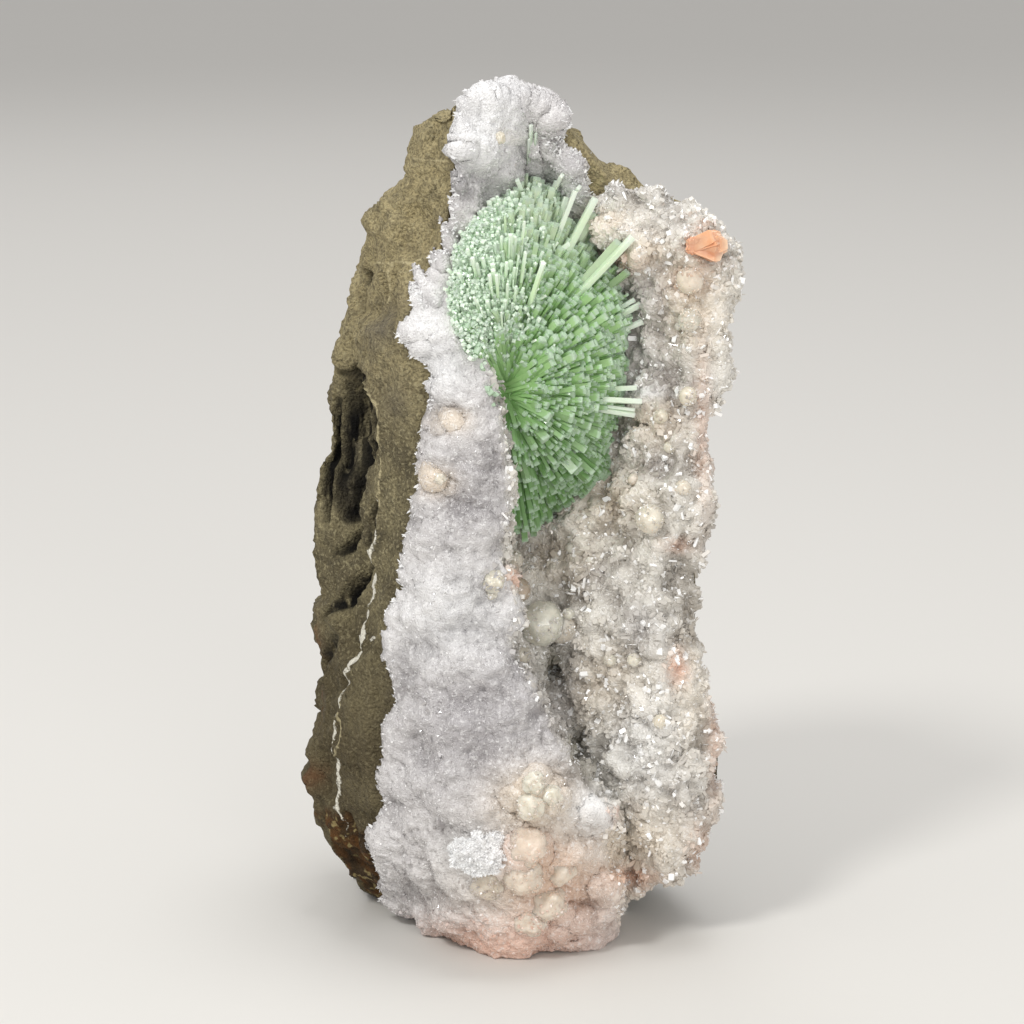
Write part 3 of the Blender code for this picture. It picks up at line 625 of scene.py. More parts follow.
class Finish:
    """A material as it is made."""

    def __init__(self, name, **constants):
        self.material = bpy.data.materials.new(name)
        self.material.use_nodes = True
        self.tree = self.material.node_tree
        self.shader = self.tree.nodes["Principled BSDF"]
        self.shader.inputs["Subsurface Radius"].default_value = (1, 0.9, 0.8)
        for key, value in constants.items():
            socket = key.replace("_", " ").title().replace("Ior", "IOR")
            self.feed(self.shader.inputs[socket], value)

    def feed(self, socket, value):
        """Gives a socket a link or a value."""
        if isinstance(value, Reading):
            self.tree.links.new(value.socket, socket)
        elif socket.type == "RGBA":
            socket.default_value = (*value, 1)
        else:
            socket.default_value = value

    def node(self, kind, settings=None, inputs=None, output=0):
        """A node with its settings, then the values or links of its sockets."""
        made = self.tree.nodes.new(kind)
        for setting, value in (settings or {}).items():
            setattr(made, setting, value)
        for key, value in (inputs or {}).items():
            self.feed(made.inputs[key], value)
        return Reading(self, made.outputs[output])

    def mark(self, name):
        """A number kept on the mesh."""
        return self.node("ShaderNodeAttribute", {"attribute_name": name}, None, "Fac")

    def place(self, stretch=(1, 1, 1)):
        """The place on the specimen, squeezed along each axis."""
        spot = self.node("ShaderNodeTexCoord", None, None, "Object")
        return self.node("ShaderNodeVectorMath", {"operation": "MULTIPLY"}, {0: spot, 1: stretch})

    def cloud(self, size, detail=2.0, stretch=(1, 1, 1)):
        """Soft uneven patches about a size in mm across, from 0 to 1."""
        inputs = {"Vector": self.place(stretch), "Scale": 1 / (size * MM), "Detail": detail}
        return self.node("ShaderNodeTexNoise", None, inputs, "Fac")

    def rise(self, value, low, high):
        """0 below low, 1 above high and a soft change between."""
        inputs = {"Value": value, "From Min": low, "From Max": high}
        return self.node("ShaderNodeMapRange", {"interpolation_type": "SMOOTHSTEP"}, inputs)

    def blend(self, part, first, second):
        """The first colour where part is 0 and the second where it is 1."""
        return self.node("ShaderNodeMix", {"data_type": "RGBA"}, {0: part, 6: first, 7: second}, 2)

    def relief(self, height, depth):
        """A fine relief, with its depth in mm."""
        inputs = {"Height": height, "Distance": depth * MM, "Strength": 1.0}
        return self.node("ShaderNodeBump", None, inputs, "Normal")

    def absorb(self, colour, density):
        """Tints what passes through a clear body."""
        volume = self.tree.nodes.new("ShaderNodeVolumeAbsorption")
        volume.inputs["Color"].default_value = (*colour, 1)
        volume.inputs["Density"].default_value = density
        output = self.tree.nodes["Material Output"]
        self.tree.links.new(volume.outputs["Volume"], output.inputs["Volume"])

    def done(self, colour, roughness, normal=None):
        """The finished material."""
        self.feed(self.shader.inputs["Base Color"], colour)
        self.feed(self.shader.inputs["Roughness"], roughness)
        if normal is not None:
            self.feed(self.shader.inputs["Normal"], normal)
        return self.material


def basalt_finish():
    """Granular olive-brown basalt with veins and stains, painted shade in its clefts and a painted
    highlight along its crests.
    """
    f = Finish("basalt", specular_ior_level=0.2)
    grit = f.cloud(0.42, 2)
    colour = f.blend(f.rise(f.cloud(7, 1), 0.36, 0.62), tone(102, 94, 72), tone(134, 125, 96))
    # Lighter towards the top, by height alone
    colour = f.blend(f.mark("lighter_top") * 0.75, colour, tone(184, 170, 130))
    colour = f.blend(f.rise(f.cloud(1.7, 2), 0.46, 0.66) * 0.45, colour, tone(86, 80, 64))
    colour = f.blend(f.rise(grit, 0.42, 0.66) * 0.5, colour, tone(72, 66, 52))
    colour = f.blend(f.rise(f.cloud(0.5, 1), 0.54, 0.68) * 0.4, colour, tone(184, 174, 138))
    colour = f.blend(f.mark("grey") * 0.8, colour, tone(98, 93, 86))
    # Darker towards the bottom, by height alone
    colour = f.blend(f.mark("low") * 0.6, colour, tone(80, 70, 50))
    rust = f.rise(f.cloud(2.4, 2), 0.42, 0.62) * f.mark("stained")
    colour = f.blend(f.mark("stained") * 0.9, colour, tone(62, 45, 25))
    colour = f.blend(rust * 0.8, colour, tone(98, 66, 34))
    crust = f.rise(f.cloud(1.3, 1), 0.58, 0.7) * f.mark("stained")
    colour = f.blend(crust, colour, tone(150, 134, 92))
    colour = f.blend(f.mark("rusty"), colour, tone(120, 62, 30))
    # Painted highlight: thin pale lines where the broken edges catch the light
    crest = f.rise(f.mark("crest") + (f.cloud(0.7, 1) - 0.5) * 2.4, 0.6, -0.4)
    colour = f.blend(crest * 0.8, colour, tone(196, 184, 146))
    ridges = f.rise(f.cloud(1.6, 2, (1, 1, 0.22)), 0.7, 0.52)
    # Painted shade: the clefts are darkened nearly to black
    colour = f.blend(f.mark("cleft_shade") * ridges, colour, tone(12, 11, 9))
    vein = f.rise(f.mark("vein") + (f.cloud(0.5, 1) - 0.42) * 2.6, 0.4, -0.4)
    colour = f.blend(vein, colour, tone(232, 228, 214))
    relief = grit + f.cloud(1.1, 1) * 0.8
    roughness = 0.8 - vein * 0.3
    return f.done(colour, roughness, f.relief(relief, 0.8))


def druse_tones(f, height_shading):
    """The druse's colours, with painted shade darker in its hollows and painted light paler on its
    tops.
    """
    # Painted light and shade: paler where the druse stands high, darker in its hollows
    left = f.blend(f.rise(height_shading, 0.1, 1), tone(146, 142, 143), tone(208, 205, 205))
    right = f.blend(f.rise(height_shading, 0.1, 0.85), tone(165, 159, 150), tone(220, 216, 208))
    colour = f.blend(f.mark("rough"), left, right)
    # Painted shade: grey spots where the druse lies in shadow
    colour = f.blend(f.mark("grey") * 0.8, colour, tone(158, 154, 157))
    colour = f.blend(f.mark("cream") * 0.7, colour, tone(238, 216, 184))
    colour = f.blend(f.mark("peach") * 0.8, colour, tone(234, 182, 154))
    # Painted shade: dark olive in the hollows
    colour = f.blend(f.mark("hollow_shade") * 0.85, colour, tone(84, 80, 56))
    return f.blend(f.mark("white") * 0.85, colour, tone(248, 249, 250))


def druse_ground_finish():
    """The druse's own sugary surface."""
    f = Finish("druse_ground", specular_ior_level=0.7)
    colour = druse_tones(f, f.mark("top") + (f.cloud(7, 1) - 0.5) * 1.6)
    colour = f.blend(f.rise(f.cloud(0.6, 3), 0.52, 0.68) * 0.4, colour, tone(250, 249, 248))
    return f.done(colour, 0.26, f.relief(f.cloud(0.3, 1), 0.25))


def druse_crystal_finish():
    """The small bright crystals on the druse, some of them painted pure white as glints."""
    f = Finish("druse_crystals", specular_ior_level=0.8)
    colour = druse_tones(f, f.mark("top") + (f.cloud(7, 1) - 0.5) * 1.6)
    shade = f.mark("shade")
    colour = f.blend(f.rise(shade, 0.2, 0.02) * 0.35, colour, tone(158, 152, 146))
    # Painted highlight: a share of crystals turns pure white to stand for glints
    white = f.rise(shade, 0.78, 0.9) * (0.45 + f.mark("rough") * 0.5)
    colour = f.blend(white, colour, tone(255, 255, 255))
    return f.done(colour, 0.06 + f.rise(shade, 0.3, 0.7) * 0.24)


def natrolite_finish():
    """Clear green natrolite, pale and frosted at its tips, paler high up and darker low down,
    partly painted light and shade.
    """
    f = Finish("natrolite", transmission_weight=0.35, ior=1.48)
    inward = f.mark("inward")
    colour = f.blend(f.rise(inward, 0.4, 7), tone(176, 222, 148), tone(142, 192, 112))
    colour = f.blend(f.mark("shade") * 0.35, colour, tone(200, 232, 170))
    # Paler in the fine upper left and towards the top, the latter partly painted light
    colour = f.blend(f.mark("pale") * 0.85, colour, tone(244, 255, 230))
    # Darker green towards the bottom, partly painted shade
    colour = f.blend(f.mark("deep") * 0.75, colour, tone(104, 150, 86))
    frost = f.rise(inward + (f.cloud(0.5, 1) - 0.5) * 0.9, 0.75, 0.1)
    colour = f.blend(frost * (0.75 - f.mark("deep") * 0.25), colour, tone(222, 242, 226))
    colour = f.blend(f.mark("clear") * 0.9, colour, tone(244, 246, 240))
    roughness = 0.1 + frost * 0.12 + f.rise(f.mark("shade"), 0.5, 1) * 0.14
    f.absorb((0.62, 0.92, 0.5), 40)
    return f.done(colour, roughness)


def frosted_finish():
    """Fine natrolite, pale and frosted all over."""
    f = Finish("frosted_natrolite", subsurface_weight=0.6, subsurface_scale=0.002)
    colour = f.blend(f.rise(f.mark("inward"), 0.2, 3), tone(232, 252, 226), tone(208, 238, 190))
    colour = f.blend(f.mark("shade") * 0.4, colour, tone(214, 240, 208))
    colour = f.blend(f.mark("clear") * 0.6, colour, tone(240, 248, 232))
    return f.done(colour, 0.1 + f.rise(f.mark("shade"), 0.3, 0.9) * 0.2)


def pearl_finish():
    """Waxy, half-clear round growths."""
    f = Finish(
        "pearl", subsurface_weight=0.7, subsurface_scale=0.0025, coat_weight=0.6,
        coat_roughness=0.04,
    )
    colour = f.blend(f.rise(f.cloud(1.4, 2), 0.36, 0.64), tone(226, 220, 206), tone(200, 196, 182))
    colour = f.blend(f.mark("cream") * 0.6, colour, tone(234, 220, 196))
    colour = f.blend(f.mark("peach") * 0.6, colour, tone(230, 202, 184))
    colour = f.blend(f.mark("grey") * 0.75, colour, tone(214, 217, 206))
    colour = f.blend(f.mark("brown") * 0.8, colour, tone(160, 132, 108))
    roughness = 0.2 + f.rise(f.cloud(0.5, 1), 0.4, 0.7) * 0.25
    return f.done(colour, roughness, f.relief(f.cloud(0.4, 1), 0.08))


def stilbite_finish():
    """Peach-orange stilbite with a pearly lustre."""
    f = Finish(
        "stilbite", subsurface_weight=0.35, subsurface_scale=0.0012, coat_weight=0.35,
        coat_roughness=0.12,
    )
    colour = f.blend(f.rise(f.cloud(1.6, 3), 0.3, 0.7), tone(236, 156, 112), tone(244, 184, 148))
    colour = f.blend(f.rise(f.mark("along"), 0.85, 1) * 0.8, colour, tone(250, 216, 188))
    colour = f.blend(f.mark("shade") * 0.35, colour, tone(246, 190, 150))
    return f.done(colour, 0.3 + f.cloud(0.5, 2) * 0.15, f.relief(f.cloud(0.3, 2), 0.03))


# Sizes of the even small faces in mm, and how many faces are kept
ROCK_GRAIN = 0.55
ROCK_FACES = 72000
DRUSE_GRAIN = 0.4
DRUSE_FACES = 92000


def cad_shape(node):
    """A CAD node's shape, with its corners joined."""
    mesh = bmesh.new()
    mesh.from_mesh(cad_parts[node].data)
    bmesh.ops.remove_doubles(mesh, verts=mesh.verts, dist=1e-6)
    made = closed_up(mesh, node)
    made.materials.clear()
    return made


# The y of the wedge's near and far ends
WEDGE_DEPTHS = (-0.045, -0.003)


def bare_top_wedge():
    """The ground that the druse has broken off from, from the eye to behind the druse."""
    mesh = bmesh.new()
    near, far = (
        [mesh.verts.new(at_depth(column, row, depth)) for column, row in BARE_TOP]
        for depth in WEDGE_DEPTHS
    )
    mesh.faces.new(near)
    mesh.faces.new(far[::-1])
    for index in range(len(near)):
        after = (index + 1) % len(near)
        mesh.faces.new((near[index], far[index], far[after], near[after]))
    bmesh.ops.recalc_face_normals(mesh, faces=mesh.faces)
    return closed_up(mesh, "wedge")


def cut(mesh, cutter, operation):
    """A mesh cut by or kept inside another."""
    item = link(bpy.data.objects.new("cut", mesh))
    other = link(bpy.data.objects.new("cutter", cutter))
    settings = {"operation": operation, "object": other, "solver": "EXACT"}
    made = worked(item, [("BOOLEAN", settings)])
    bpy.data.objects.remove(item)
    bpy.data.objects.remove(other)
    return made


def evened(meshes, size):
    """Meshes joined into one surface of even small faces, with the size in mm."""
    item = link(bpy.data.objects.new("joined", joined(meshes, "joined")))
    settings = {"mode": "VOXEL", "voxel_size": size * MM, "adaptivity": 0.0}
    result = worked(item, [("REMESH", settings)])
    bpy.data.objects.remove(item)
    return result


def thinned(mesh, hidden, faces):
    """A mesh with fewer faces, as many as given, taken from where it is hidden."""
    item = link(bpy.data.objects.new("thinned", mesh))
    group = item.vertex_groups.new(name="hidden")
    group.add([int(index) for index in np.nonzero(hidden)[0]], 1, "REPLACE")
    settings = {
        "decimate_type": "COLLAPSE", "ratio": faces / len(mesh.polygons), "vertex_group": "hidden",
        "vertex_group_factor": 30,
    }
    made = worked(item, [("DECIMATE", settings)])
    bpy.data.objects.remove(item)
    return made


def swollen(mesh, amount):
    """A mesh with its surface moved out, with the amount in mm."""
    move_to(mesh, place_of(mesh) + normals_of(mesh) * amount * MM)
    return mesh


def is_seen(tree, places):
    """Whether the photograph's view reaches each place, 1 or 0."""
    seen = np.zeros(len(places))
    for index, place in enumerate(places):
        away = Vector(place) - EYE
        hit = tree.ray_cast(EYE, away)
        seen[index] = hit[0] is not None and hit[3] > away.length - 0.8 * MM
    return seen


def far_from(tree, places, reach):
    """How far each place is from a surface, in mm, at most reach."""
    found = np.full(len(places), float(reach))
    for index, place in enumerate(places):
        hit = tree.find_nearest(Vector(place), reach * MM)
        if hit[0] is not None:
            found[index] = hit[3] / MM
    return found


def broken_face(point, size, seed, step=0.35):
    """Height of flat broken faces about a size across, each with its own tilt and level."""
    spot = point / size + Vector((seed, seed * 1.7, seed * 0.6))
    distances, centres = noise.voronoi(spot)
    heights = []
    for centre in centres[:2]:
        tilt = noise.cell_vector(centre * 91.7) - Vector((0.5, 0.5, 0.5))
        heights.append(tilt.dot(spot - centre) + step * noise.cell(centre * 37.3))
    part = min(1, (distances[1] - distances[0]) / 0.07)
    return heights[0] * (0.5 + 0.5 * part) + heights[1] * (0.5 - 0.5 * part)


def pearls(point, size, seed):
    """Height of round lumps about a size across, 1 on their tops."""
    near = noise.voronoi(point / size + Vector((seed, seed * 1.3, seed * 0.7)))[0][0]
    return math.sqrt(max(0, 1 - (near / 0.85) ** 2))


def rock_relief(places, calm):
    """Height of the rock's broken surface at each place, in mm; calm faces stay flatter."""
    heights = np.empty(len(places))
    for index, place in enumerate(places):
        point = Vector(place) / MM
        broad = 7 * broken_face(point, 17, 3.1, 0.08) + 2.4 * broken_face(point, 7, 7.7, 0.15)
        fine = 0.7 * broken_face(point, 2.8, 1.3, 0.2) + 0.35 * broken_face(point, 1.3, 9.1)
        fine += 0.15 * noise.noise(point / 0.8)
        heights[index] = broad * (1 - 0.72 * calm[index]) + fine
    return heights


def front_relief(columns, rows):
    """Heights of what the photograph shows on the basalt, in mm."""
    height = np.zeros(len(columns))
    ridges = [noise.noise(Vector((x / 8, y / 45, 0))) for x, y in zip(columns, rows)]
    ridges = 0.75 + 0.6 * np.array(ridges)
    for line in CLEFTS:
        apart, (half_width, depth) = line_distance(columns, rows, line)
        height -= depth * ridges * smooth_rise(half_width * 1.3 - apart, 0, half_width)
    for line in CRESTS + VEINS:
        apart, (half_width,) = line_distance(columns, rows, line)
        height += 0.22 * smooth_rise(half_width + 1.5 - apart, 0, 2)
    column, row, half_width, half_height = SHELL_BREAK
    apart = np.hypot((columns - column) / half_width, (rows - row) / half_height)
    shell = np.clip(1 - apart, 0, 1)
    rings = 0.1 * np.sin(apart * 22) * (shell > 0)
    return height - 1.1 * smooth_rise(shell, 0, 0.5) + rings


def rock_marks(columns, rows, seen, height):
    """Numbers for the basalt's finish at each place."""
    far = 12.0

    def least(lines):
        nearest = np.full(len(columns), far)
        for line in lines:
            apart, (half_width,) = line_distance(columns, rows, line)
            nearest = np.minimum(nearest, apart - half_width)
        return np.where(seen > 0, nearest, far)

    # Painted shade that darkens the clefts, most where they are deepest
    cleft_shade = np.zeros(len(columns))
    for line in CLEFTS:
        apart, (half_width, depth) = line_distance(columns, rows, line)
        dark = smooth_rise(half_width * 1.4 - apart, 0, half_width) * np.clip(depth / 2, 0.3, 1)
        cleft_shade = np.maximum(cleft_shade, dark)
    stained = smooth_rise(edge_distance(columns, rows, STAINED), -5, 5)
    # Lighter towards the top of the block, by height alone
    lighter_top = smooth_rise(height, 0.07, 0.1)
    return {
        "vein": least(VEINS), "crest": least(CRESTS), "cleft_shade": cleft_shade * seen,
        "stained": stained * seen, "rusty": spots(columns, rows, RUSTY_RIM) * seen,
        "grey": spots(columns, rows, GREY_ROCK) * seen, "lighter_top": lighter_top,
        "low": smooth_rise(height, 0.06, 0.03),
    }


# The basalt's flat front face starts between these columns and rows, and its bare top and its
# right side between these columns
FRONT_FACE_COLUMNS = (372, 384)
FRONT_FACE_ROWS = (300, 330)
BARE_TOP_COLUMNS = (560, 570)
RIGHT_SIDE_COLUMNS = (630, 660)


def make_rock(druse_tree, fill):
    """The basalt block with its broken faces."""
    mesh = evened([cad_shape("basalt_matrix"), fill], ROCK_GRAIN)
    unwrapped(mesh)
    places, normals = place_of(mesh), normals_of(mesh)
    columns, rows = seen_at(places)
    tree = tree_of(mesh)
    facing = unit(np.array(EYE) - places)
    slant = (facing * normals).sum(axis=1)
    seen = is_seen(tree, places + normals * 0.3 * MM) * smooth_rise(slant, 0.02, 0.2)
    calm = seen * smooth_rise(columns, *FRONT_FACE_COLUMNS) * smooth_rise(rows, *FRONT_FACE_ROWS)
    calm = np.maximum(calm, seen * smooth_rise(columns, *BARE_TOP_COLUMNS))
    free = smooth_rise(far_from(druse_tree, places, 3), 0.5, 2.2)
    base = smooth_rise(places[:, 2], 0.2 * MM, 2 * MM)
    height = rock_relief(places, calm) * base * free
    right_side = smooth_rise(columns, *RIGHT_SIDE_COLUMNS) * smooth_rise(places[:, 1], 0.03, 0)
    height -= np.maximum(height, 0) * right_side
    height += front_relief(columns, rows) * seen * base
    move_to(mesh, places + normals * height[:, None] * MM)
    write_marks(mesh, rock_marks(columns, rows, seen, places[:, 2]))
    tree = tree_of(mesh)
    mesh = thinned(mesh, free < 0.1, ROCK_FACES)
    mesh.shade_smooth()
    piece("basalt_block", mesh, basalt_finish(), "basalt", "basalt_matrix")
    return tree


# Spikes of druse that reach out over the basalt: foot, tip and width in pixels
DRUSE_SPIKES = [
    ((449, 240), (440.5, 212), 9), ((430, 292), (413.5, 263.5), 15), ((424, 330), (405.5, 333), 13),
    ((460, 186), (453, 172), 7), ((441, 262), (434, 248), 7), ((424, 345), (409, 342), 9),
    ((420, 305), (410, 275), 9), ((462, 150), (456, 139), 6),
]


def ray_to(trees, column, row):
    """The first surface that the photograph shows at a place, and its normal."""
    hits = [tree.ray_cast(EYE, line_of_sight(column, row)) for tree in trees]
    hits = [hit for hit in hits if hit[0] is not None]
    return min(hits, key=lambda hit: hit[3])[:2]


def spike_shapes(trees):
    """The druse's spikes over the rock, as flat wedges."""
    mesh = bmesh.new()
    for foot, tip, width in DRUSE_SPIKES:
        start = ray_to(trees, *foot)[0] + VIEW_BACK * 0.2 * MM
        end = ray_to(trees, *tip)[0] + VIEW_BACK * 0.5 * MM
        way = end - start
        side = way.cross(VIEW_BACK).normalized() * width * 0.07 * MM
        front = VIEW_BACK * 0.7 * MM
        ring = [mesh.verts.new(start + offset) for offset in (side, front, -side, -front * 1.6)]
        point = mesh.verts.new(end)
        back = mesh.verts.new(start - way * 0.5)
        for index in range(4):
            after = ring[(index + 1) % 4]
            mesh.faces.new((ring[index], after, point))
            mesh.faces.new((after, ring[index], back))
    bmesh.ops.recalc_face_normals(mesh, faces=mesh.faces)
    return closed_up(mesh, "spikes")


# Knobs of the druse itself, as (column, row, radius in mm, share that stands out)
DRUSE_KNOBS = [
    (455, 418, 1.1, 0.45), (446, 426, 0.9, 0.4), (440, 478, 1.1, 0.45), (452, 486, 0.9, 0.4),
    (534, 783, 1.7, 0.6), (531, 803, 1.9, 0.6), (550, 790, 1.5, 0.5), (516, 796, 1.3, 0.5),
    (565, 915, 2.6, 0.5), (528, 850, 2.4, 0.4), (590, 812, 2, 0.5), (600, 880, 1.8, 0.5),
    (640, 240, 2.6, 0.5), (610, 222, 2.4, 0.4), (655, 300, 1.8, 0.5), (675, 302, 1.5, 0.6),
    (655, 400, 2.2, 0.5), (661, 416, 1.8, 0.5), (688, 395, 1.7, 0.6), (634, 480, 1.1, 0.7),
    (610, 660, 1.3, 0.5), (634, 660, 1.2, 0.5), (660, 722, 1.4, 0.5), (625, 690, 1, 0.5),
    (650, 440, 1.6, 0.5), (690, 440, 1.6, 0.4), (683, 488, 2, 0.4), (620, 556, 1.8, 0.5),
    (590, 545, 1.5, 0.5), (560, 540, 1.4, 0.5), (576, 585, 1.6, 0.5), (692, 540, 1.6, 0.4),
    (668, 850, 2.4, 0.4), (690, 760, 2.2, 0.4), (640, 700, 2.4, 0.4), (655, 640, 2, 0.4),
    (600, 700, 2, 0.4), (620, 760, 2.2, 0.4), (640, 820, 2.2, 0.4), (615, 840, 1.8, 0.4),
]


def knob_shapes(tree):
    """The druse's larger knobs as balls half sunk in it."""
    mesh = bmesh.new()
    for column, row, radius, share in DRUSE_KNOBS:
        place, normal = ray_to([tree], column, row)
        middle = place + normal * radius * (2 * share - 1.25) * MM
        made = bmesh.ops.create_icosphere(mesh, subdivisions=3, radius=1, matrix=Matrix.Identity(4))
        for vertex in made["verts"]:
            way = vertex.co.normalized()
            uneven = 0.5 * noise.noise(way * 1.3 + Vector((column, row, 0)))
            vertex.co = middle + way * radius * MM * (1 + uneven)
    return closed_up(mesh, "knobs")


def druse_lumps(point):
    """Heights of the fine lobe's and the coarse lobe's lumps at a point in mm, about 0 to 1."""
    small = pearls(point, 1.25, 2.3)
    calm = 0.45 + 0.9 * noise.noise(point / 5) + 0.35 * pearls(point, 2.9, 4.1)
    knobby = 0.42 * pearls(point, 6.4, 1.9) + 0.25 * pearls(point, 3, 8.3)
    knobby += 0.45 * noise.noise(point / 6.5) + 0.5 * noise.noise(point / 2.6)
    return 0.8 * calm + 0.25 * small, knobby + 0.15 * small


def druse_relief(places, left):
    """Height of the druse's lumps at each place, in mm, and how high it stands, 0 to 1."""
    heights, tops = np.empty(len(places)), np.empty(len(places))
    for index, place in enumerate(places):
        point = Vector(place) / MM
        fine, coarse = druse_lumps(point)
        tops[index] = fine * left[index] + coarse * (1 - left[index])
        grains = 0.4 * broken_face(point, 0.95, 5.5) + 0.2 * noise.noise(point / 0.5)
        grains += 0.5 * broken_face(point, 2.1, 6.6) * (1 - left[index])
        grains += 0.6 * broken_face(point, 3.4, 2.6, 0.1) * left[index]
        heights[index] = 2.5 * fine * left[index] + (3 * coarse - 1.4) * (1 - left[index]) + grains
    return heights, tops


def druse_marks(columns, rows, left, tops):
    """Numbers for the druse's finish at each place."""
    return {
        "rough": 1 - left, "cream": spots(columns, rows, CREAM_DRUSE),
        "peach": spots(columns, rows, PEACH_DRUSE), "grey": spots(columns, rows, SHADED_DRUSE),
        "white": spots(columns, rows, WHITE_DRUSE), "hollow_shade": spots(columns, rows, HOLLOW_SHADE_DRUSE),
        # top is how high the druse stands, read for painted light on its tops and painted shade in
        # its hollows
        "top": tops,
    }


def bare_rock_reach(tree, places, normals):
    """How far the rock is in front of each place, in mm, at most 6."""
    found = np.full(len(places), 6.0)
    for index, (place, normal) in enumerate(zip(places, normals)):
        hit = tree.ray_cast(Vector(place) + Vector(normal) * 0.1 * MM, Vector(normal), 6 * MM)
        if hit[0] is not None:
            found[index] = hit[3] / MM
    return found


def make_druse(shape, cad_rock_tree, finish):
    """The druse's own surface, and the skin that its crystals stand on."""
    mesh = evened([shape], DRUSE_GRAIN)
    unwrapped(mesh)
    places, normals = place_of(mesh), normals_of(mesh)
    columns, rows = seen_at(places)
    left = on_left_lobe(columns, rows)
    open_side = smooth_rise(bare_rock_reach(cad_rock_tree, places, normals), 1.5, 3)
    base = smooth_rise(places[:, 2], 0.1 * MM, 1.2 * MM)
    height, tops = druse_relief(places, left)
    height *= open_side * base * (1 - spots(columns, rows, SHARP_DRUSE))
    seen = is_seen(tree_of(mesh), places + normals * 0.3 * MM)
    for column, row, radius, depth in DRUSE_HOLES:
        apart = np.hypot(columns - column, rows - row)
        height -= depth * smooth_rise(radius * 1.3 - apart, 0, radius) * seen
    move_to(mesh, places + normals * height[:, None] * MM)
    marks = druse_marks(columns, rows, left, tops)
    marks["shade"] = np.zeros(len(places))
    write_marks(mesh, marks)
    kept = (open_side > 0.5) & (place_of(mesh)[:, 2] > 0.4 * MM)
    skin, tree = Skin(mesh, kept), tree_of(mesh)
    mesh = thinned(mesh, open_side < 0.2, DRUSE_FACES)
    mesh.shade_smooth()
    piece("druse_crust", mesh, finish, "druse", "druse_lining")
    return skin, tree


def spread_of(random, count, low, high):
    """Sizes between low and high in mm, more of them small."""
    return (low + (high - low) * random.random(count) ** 1.8) * MM


def leaning(random, normals, amount):
    """Directions round the normals, leaning by an amount."""
    return unit(normals + amount * unit(random.normal(size=normals.shape)))


def lying(random, normals, lift):
    """Directions along the surface, lifted from it a little."""
    return unit(unit(np.cross(normals, random.normal(size=normals.shape))) + lift * normals)


def stands(amount):
    """The way crystals stand that lean by an amount."""
    return lambda random, normals: leaning(random, normals, amount)


def lies(lift):
    """The way crystals lie that are lifted a little."""
    return lambda random, normals: lying(random, normals, lift)


def marks_at(places, random):
    """The druse's marks for crystals at places, with a shade of their own."""
    columns, rows = seen_at(places)
    left = on_left_lobe(columns, rows)
    tops = np.array([druse_lumps(Vector(place) / MM) for place in places])
    tops = tops[:, 0] * left + tops[:, 1] * (1 - left)
    marks = druse_marks(columns, rows, left, tops)
    marks["shade"] = random.random(len(places))
    return marks


def sow(growth, random, skin, weights, count, form, axes_from, widths, lengths, sunk=0.15):
    """Crystals of one form scattered over the skin; sizes are (low, high) in mm."""
    places, normals, _ = skin.scatter(random, count, weights)
    axes = axes_from(random, normals)
    wide = spread_of(random, count, *widths)
    tall = spread_of(random, count, *lengths)
    marks = marks_at(places, random)
    places = places - axes * (tall * sunk)[:, None] - normals * 0.05 * MM
    deep = wide * (0.6 + 0.5 * random.random(count))
    growth.add(form, places, axes, random.random(count) * TURN, wide, deep, tall, marks)


def make_sugar(skin, finish):
    """The small crystals that cover the druse."""
    random = np.random.default_rng(11)
    left = on_left_lobe(skin.columns, skin.rows)
    clumps = np.array([noise.noise(Vector(middle) / (2.2 * MM)) for middle in skin.middles])
    patchy = np.clip(0.5 + 1.4 * clumps, 0.04, 1.3)
    fine = Growth()
    fine_share = left + 0.01
    for form in BLOCKS:
        weights = fine_share * patchy
        sow(fine, random, skin, weights, 1500, form, stands(1.1), (0.16, 0.5), (0.16, 0.5), 0.5)
    for form in POINTS:
        weights = fine_share
        sow(fine, random, skin, weights, 12500, form, stands(0.9), (0.16, 0.42), (0.16, 0.5), 0.3)
    piece("fine_sugar", fine.mesh("fine_sugar"), finish, "druse")
    coarse = Growth()
    coarse_share = 1.01 - left
    for form in BLOCKS:
        weights = coarse_share * patchy
        sow(coarse, random, skin, weights, 3300, form, stands(1.2), (0.3, 1.0), (0.3, 0.95), 0.5)
    for form in POINTS:
        weights = coarse_share * (0.3 + patchy)
        sow(coarse, random, skin, weights, 8600, form, stands(1), (0.2, 0.6), (0.2, 0.7), 0.35)
    piece("coarse_sugar", coarse.mesh("coarse_sugar"), finish, "druse")


# The druse's rim over the basalt is its right one from this column on
RIGHT_RIM_COLUMN = 560
FRINGE_COUNT = 3000


